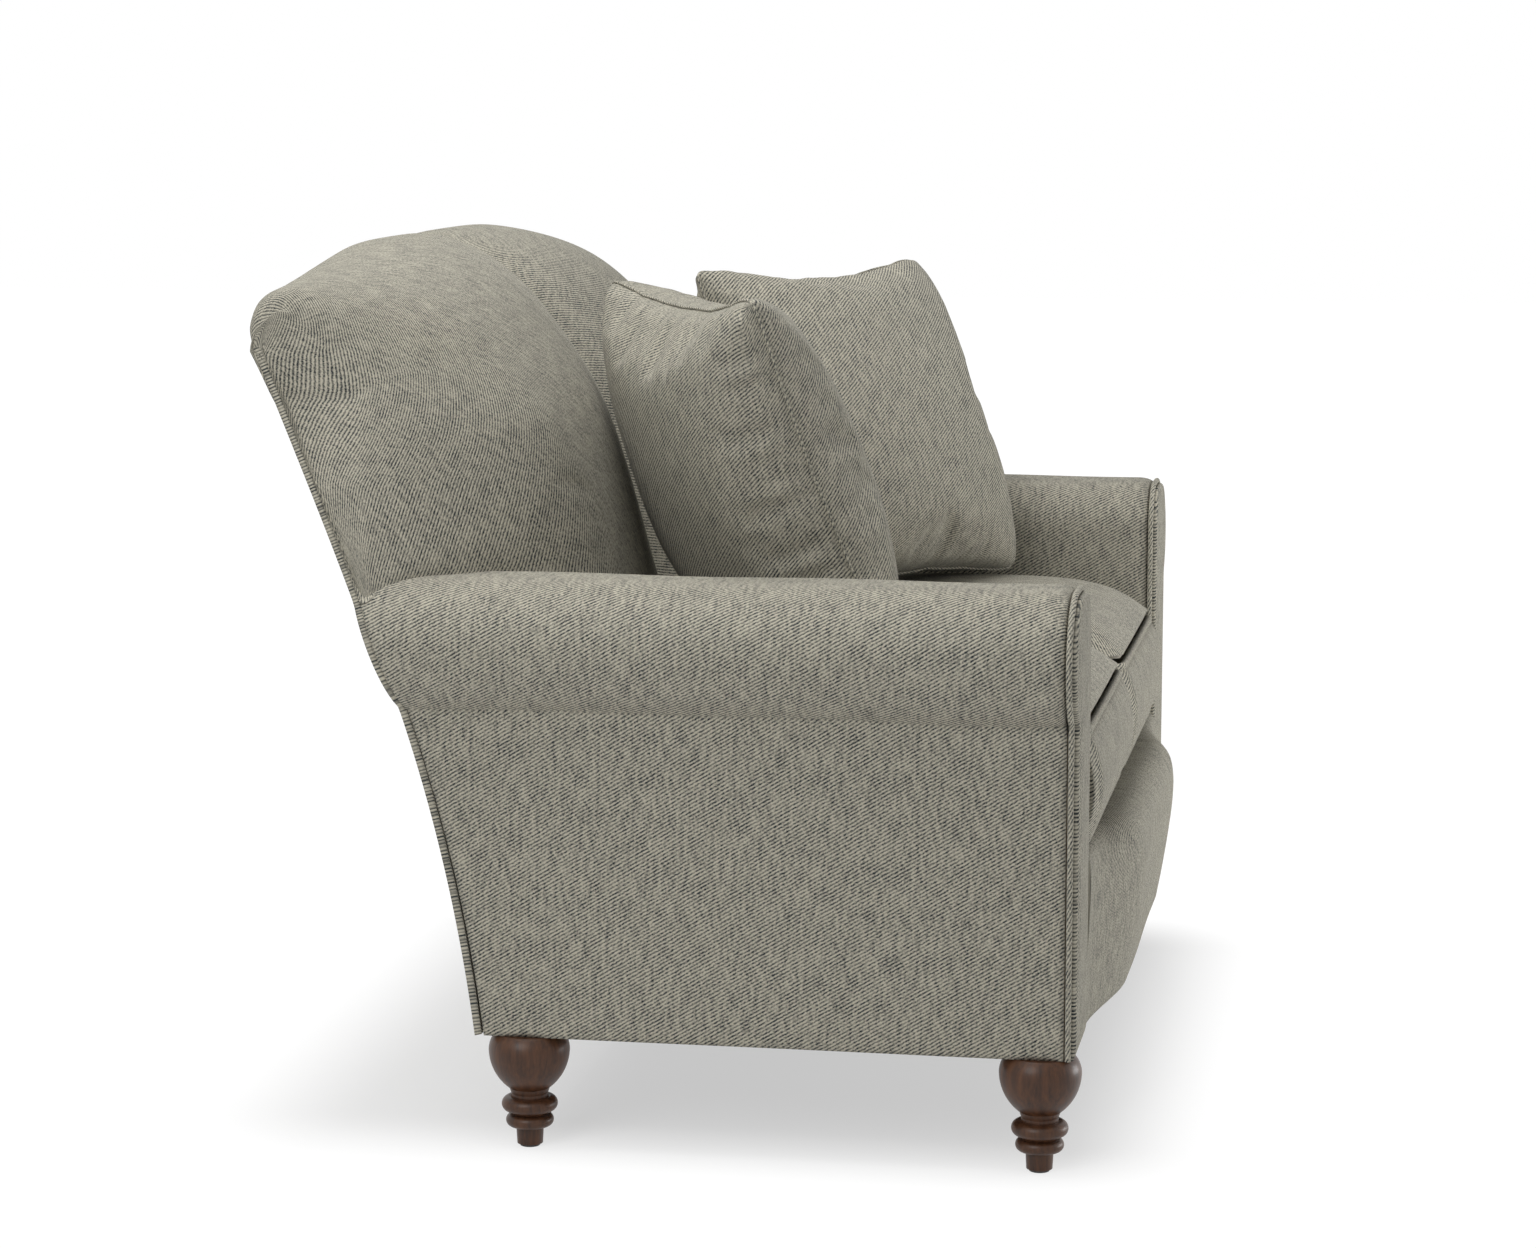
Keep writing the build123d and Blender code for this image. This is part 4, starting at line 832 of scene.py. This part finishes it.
started = []
for piece in pillows.values():
    started.append(startCloth(piece, "pillow", np.zeros(len(piece.data.vertices), bool)))
for piece in cushions.values():
    z = pointsOf(piece)[:, 2]
    seams = (abs(z - cushion["high"]) < 0.0006) | (z < cushion["low"] + 0.001)
    started.append(startCloth(piece, "cushion", seams))
for piece in halves.values():
    p = pointsOf(piece)
    held = (p[:, 1] > rearLine(p[:, 2]) - 0.028) | (p[:, 2] < 0.50) | (abs(p[:, 0]) < 0.004)
    started.append(startCloth(piece, "back", held))
runCloth(started)


def innerCopy(piece, name, inset):
    # the filling: the cover's own form, moved in along its normals
    copy = piece.data.copy()
    copy.name = name
    normals = np.empty(len(copy.vertices) * 3, np.float32)
    copy.vertices.foreach_get("normal", normals)
    filling = bpy.data.objects.new(name, copy)
    bpy.context.scene.collection.objects.link(filling)
    setPoints(filling, pointsOf(piece) - inset * normals.reshape(-1, 3))
    return filling


coverThick = 0.004  # cloth and wadding over the filling
for label, side in (("left", -1), ("right", 1)):
    finishPiece(halves[label], "frame", "upholstery", [f"back_pad_{label}"], 1)
    body = f"seat_cushion_{label}"
    foam = innerCopy(cushions[label], f"seatFoam{hand[side]}", coverThick)
    finishPiece(foam, body, "foam", [f"{body}_core"])
    finishPiece(cushions[label], body, "upholstery", [f"{body}_cover"], 1)
    upper = cushionWelt(side, cushion["high"] + cushion["weltLift"], f"cushionPipingTop{hand[side]}")
    lower = cushionWelt(side, cushion["low"], f"cushionPipingLow{hand[side]}")
    finishPiece(upper, body, "piping", [f"{body}_welts"])
    finishPiece(lower, body, "piping", [f"{body}_welts"])
    body = f"pillow_{label}"
    filling = innerCopy(pillows[label], f"pillowFill{hand[side]}", coverThick)
    finishPiece(filling, body, "fibre", [f"{body}_fill"])
    seam = pillowSeam(pillows[label], rims[label], label)
    finishPiece(pillows[label], body, "upholstery", [f"{body}_cover"], 1)
    finishPiece(seam, body, "piping", [f"{body}_cover"])
print("soft pieces finished")


# dust cover under the seat
dust = {"x": 0.584, "y": (-0.4195, 0.2055), "sag": 0.0035, "lift": 0.0005, "wall": 0.0006}


def dustCover():
    # stretched under the rails, sagging between them by a parabola across times a sine from front to rear
    a = np.linspace(-1, 1, 60)[None, :]
    b = np.linspace(0, 1, 40)[:, None]
    x, y = a * dust["x"], dust["y"][0] + b * np.ptp(dust["y"])
    z = sofa["underside"] + dust["lift"] - dust["sag"] * (1 - a**2) * np.sin(np.pi * b)
    points = np.stack(np.broadcast_arrays(x, y, z), -1)
    return thicken(weldPiece("dustCover", [patch(points)], inside=(0, 0, 0.2)), dust["wall"])


cover = finishPiece(dustCover(), "frame", "dustCloth", ["dust_cover"])


def bothSides(*names):
    return [f"{name}_{label}" for name in names for label in ("left", "right")]


carried = {  # CAD nodes that stay, by finish
    "leg": bothSides("leg_front", "leg_rear"),
    "nylon": ["leg_glides"],
    "steel": ["leg_hanger_bolts", "leg_tee_nuts", "leg_block_screws",
              "seat_springs", "spring_clips", "spring_tie_wires"],
    "webbing": ["back_webbing"],
    "zipTape": ["seat_cushion_left_zip", "seat_cushion_right_zip"],
    "frameWood": ["leg_blocks", "rail_dowels", "front_seat_rail", "rear_seat_rail", "centre_stretcher",
                  "crest_rail", "lower_back_rail", "centre_back_post"]
    + bothSides("side_rail", "arm_post", "arm_top_rail", "back_post"),
}
for finish, names in carried.items():
    for name in names:
        nodes[name].data.materials.clear()
        nodes[name].data.materials.append(finishes[finish])
print("frame finishes:", sum(len(names) for names in carried.values()), "nodes")


# floor, light and camera
stage = {
    "floor": 30.0, "floorTone": (0.86, 0.86, 0.86, 1), "floorGlow": 1.05, "skyOnPart": 0.22,
    "shadeHalf": (0.46, 0.36), "shadeFade": 0.26, "shadeGlow": 0.51,  # a soft rectangle that keeps the shadow
    "lamps": {  # place, watts, size
        "top": ((-0.4, 0.45, 3.5), 72.0, 2.2),
        "side": ((-3.2, 0.9, 2.3), 40.0, 2.0),
        "front": ((0.5, -2.0, 0.2), 18.0, 0.9),
    },
    "aim": (0, 0, 0.5),
}


def seenDirectly(tree):
    # 1 for camera, glossy and transmission rays, 0 for the rest
    seen = put(tree, "ShaderNodeLightPath").outputs
    through = sums(tree, "MAXIMUM", seen["Is Glossy Ray"], seen["Is Transmission Ray"])
    return sums(tree, "MAXIMUM", seen["Is Camera Ray"], through)


def whiteFloor():
    # matte where it carries the shadow, and white by its own glow further out
    half = stage["floor"] / 2
    mesh = bpy.data.meshes.new("floor")
    corners = [(-half, -half, 0), (half, -half, 0), (half, half, 0), (-half, half, 0)]
    mesh.from_pydata(corners, [], [(0, 1, 2, 3)])
    floor = bpy.data.objects.new("floor", mesh)
    bpy.context.scene.collection.objects.link(floor)
    made = bpy.data.materials.new("floorWhite")
    made.use_nodes = True
    tree = made.node_tree
    tree.nodes.clear()
    out = tree.nodes.new("ShaderNodeOutputMaterial")
    matte = put(tree, "ShaderNodeBsdfDiffuse", {"Color": stage["floorTone"]}).outputs[0]
    glow = put(tree, "ShaderNodeEmission", {"Color": (1, 1, 1, 1), "Strength": stage["floorGlow"]}).outputs[0]
    spot = put(tree, "ShaderNodeTexCoord").outputs["Object"]
    spread = put(tree, "ShaderNodeVectorMath", {0: spot}, operation="ABSOLUTE").outputs[0]
    rectangle = (*stage["shadeHalf"], 0)
    past = put(tree, "ShaderNodeVectorMath", {0: spread, 1: rectangle}, operation="SUBTRACT").outputs[0]
    past = put(tree, "ShaderNodeVectorMath", {0: past, 1: (0, 0, 0)}, operation="MAXIMUM").outputs[0]
    away = put(tree, "ShaderNodeVectorMath", {0: past}, operation="LENGTH").outputs["Value"]
    fade = {"Value": away, "From Max": stage["shadeFade"], "To Min": stage["shadeGlow"]}
    pale = put(tree, "ShaderNodeMapRange", fade, interpolation_type="SMOOTHSTEP").outputs[0]
    share = sums(tree, "MULTIPLY", seenDirectly(tree), pale)
    mix = put(tree, "ShaderNodeMixShader", {0: share, 1: matte, 2: glow})
    tree.links.new(mix.outputs[0], out.inputs["Surface"])
    mesh.materials.append(made)


def whiteSky():
    world = bpy.data.worlds.new("studio")
    bpy.context.scene.world = world
    world.use_nodes = True
    tree = world.node_tree
    tree.nodes.clear()
    out = tree.nodes.new("ShaderNodeOutputWorld")
    shown = {"Value": seenDirectly(tree), "To Min": stage["skyOnPart"], "To Max": 1.0}
    level = put(tree, "ShaderNodeMapRange", shown)
    sky = put(tree, "ShaderNodeBackground", {"Color": (1, 1, 1, 1), "Strength": level.outputs[0]})
    tree.links.new(sky.outputs[0], out.inputs["Surface"])


def placed(right, up, rearward, place):
    # a lamp or camera looks along its own -Z
    axes = Matrix(np.stack([right, up, rearward], 1).tolist())
    return Matrix.Translation(place) @ axes.to_4x4()


def softLamp(name, place, watts, size):
    lamp = bpy.data.lights.new(name, "AREA")
    lamp.energy = watts
    lamp.shape = "DISK"
    lamp.size = size
    holder = bpy.data.objects.new(name, lamp)
    bpy.context.scene.collection.objects.link(holder)
    rearward = np.array(place, float) - stage["aim"]
    rearward /= np.linalg.norm(rearward)
    right = np.cross((0, 1, 0) if abs(rearward[2]) > 0.95 else (0, 0, 1), rearward)
    right /= np.linalg.norm(right)
    holder.matrix_world = placed(right, np.cross(rearward, right), rearward, place)


whiteFloor()
whiteSky()
for name, (place, watts, size) in stage["lamps"].items():
    softLamp(name, place, watts, size)

view = {"at": (-4.42, -0.7865, 1.153), "yaw": 0.1765, "pitch": 0.1455, "lens": 87.9}
shot = bpy.data.cameras.new("photoView")
shot.sensor_fit = "HORIZONTAL"
shot.sensor_width = 36.0
shot.lens = view["lens"]
camera = bpy.data.objects.new("photoView", shot)
bpy.context.scene.collection.objects.link(camera)
yaw, pitch = view["yaw"], view["pitch"]
ahead = np.array([np.cos(yaw) * np.cos(pitch), np.sin(yaw) * np.cos(pitch), -np.sin(pitch)])
right = np.array([np.sin(yaw), -np.cos(yaw), 0.0])
camera.matrix_world = placed(right, np.cross(right, ahead), -ahead, view["at"])
bpy.context.scene.camera = camera
bpy.context.scene.view_settings.view_transform = "Standard"
print("camera and light done")
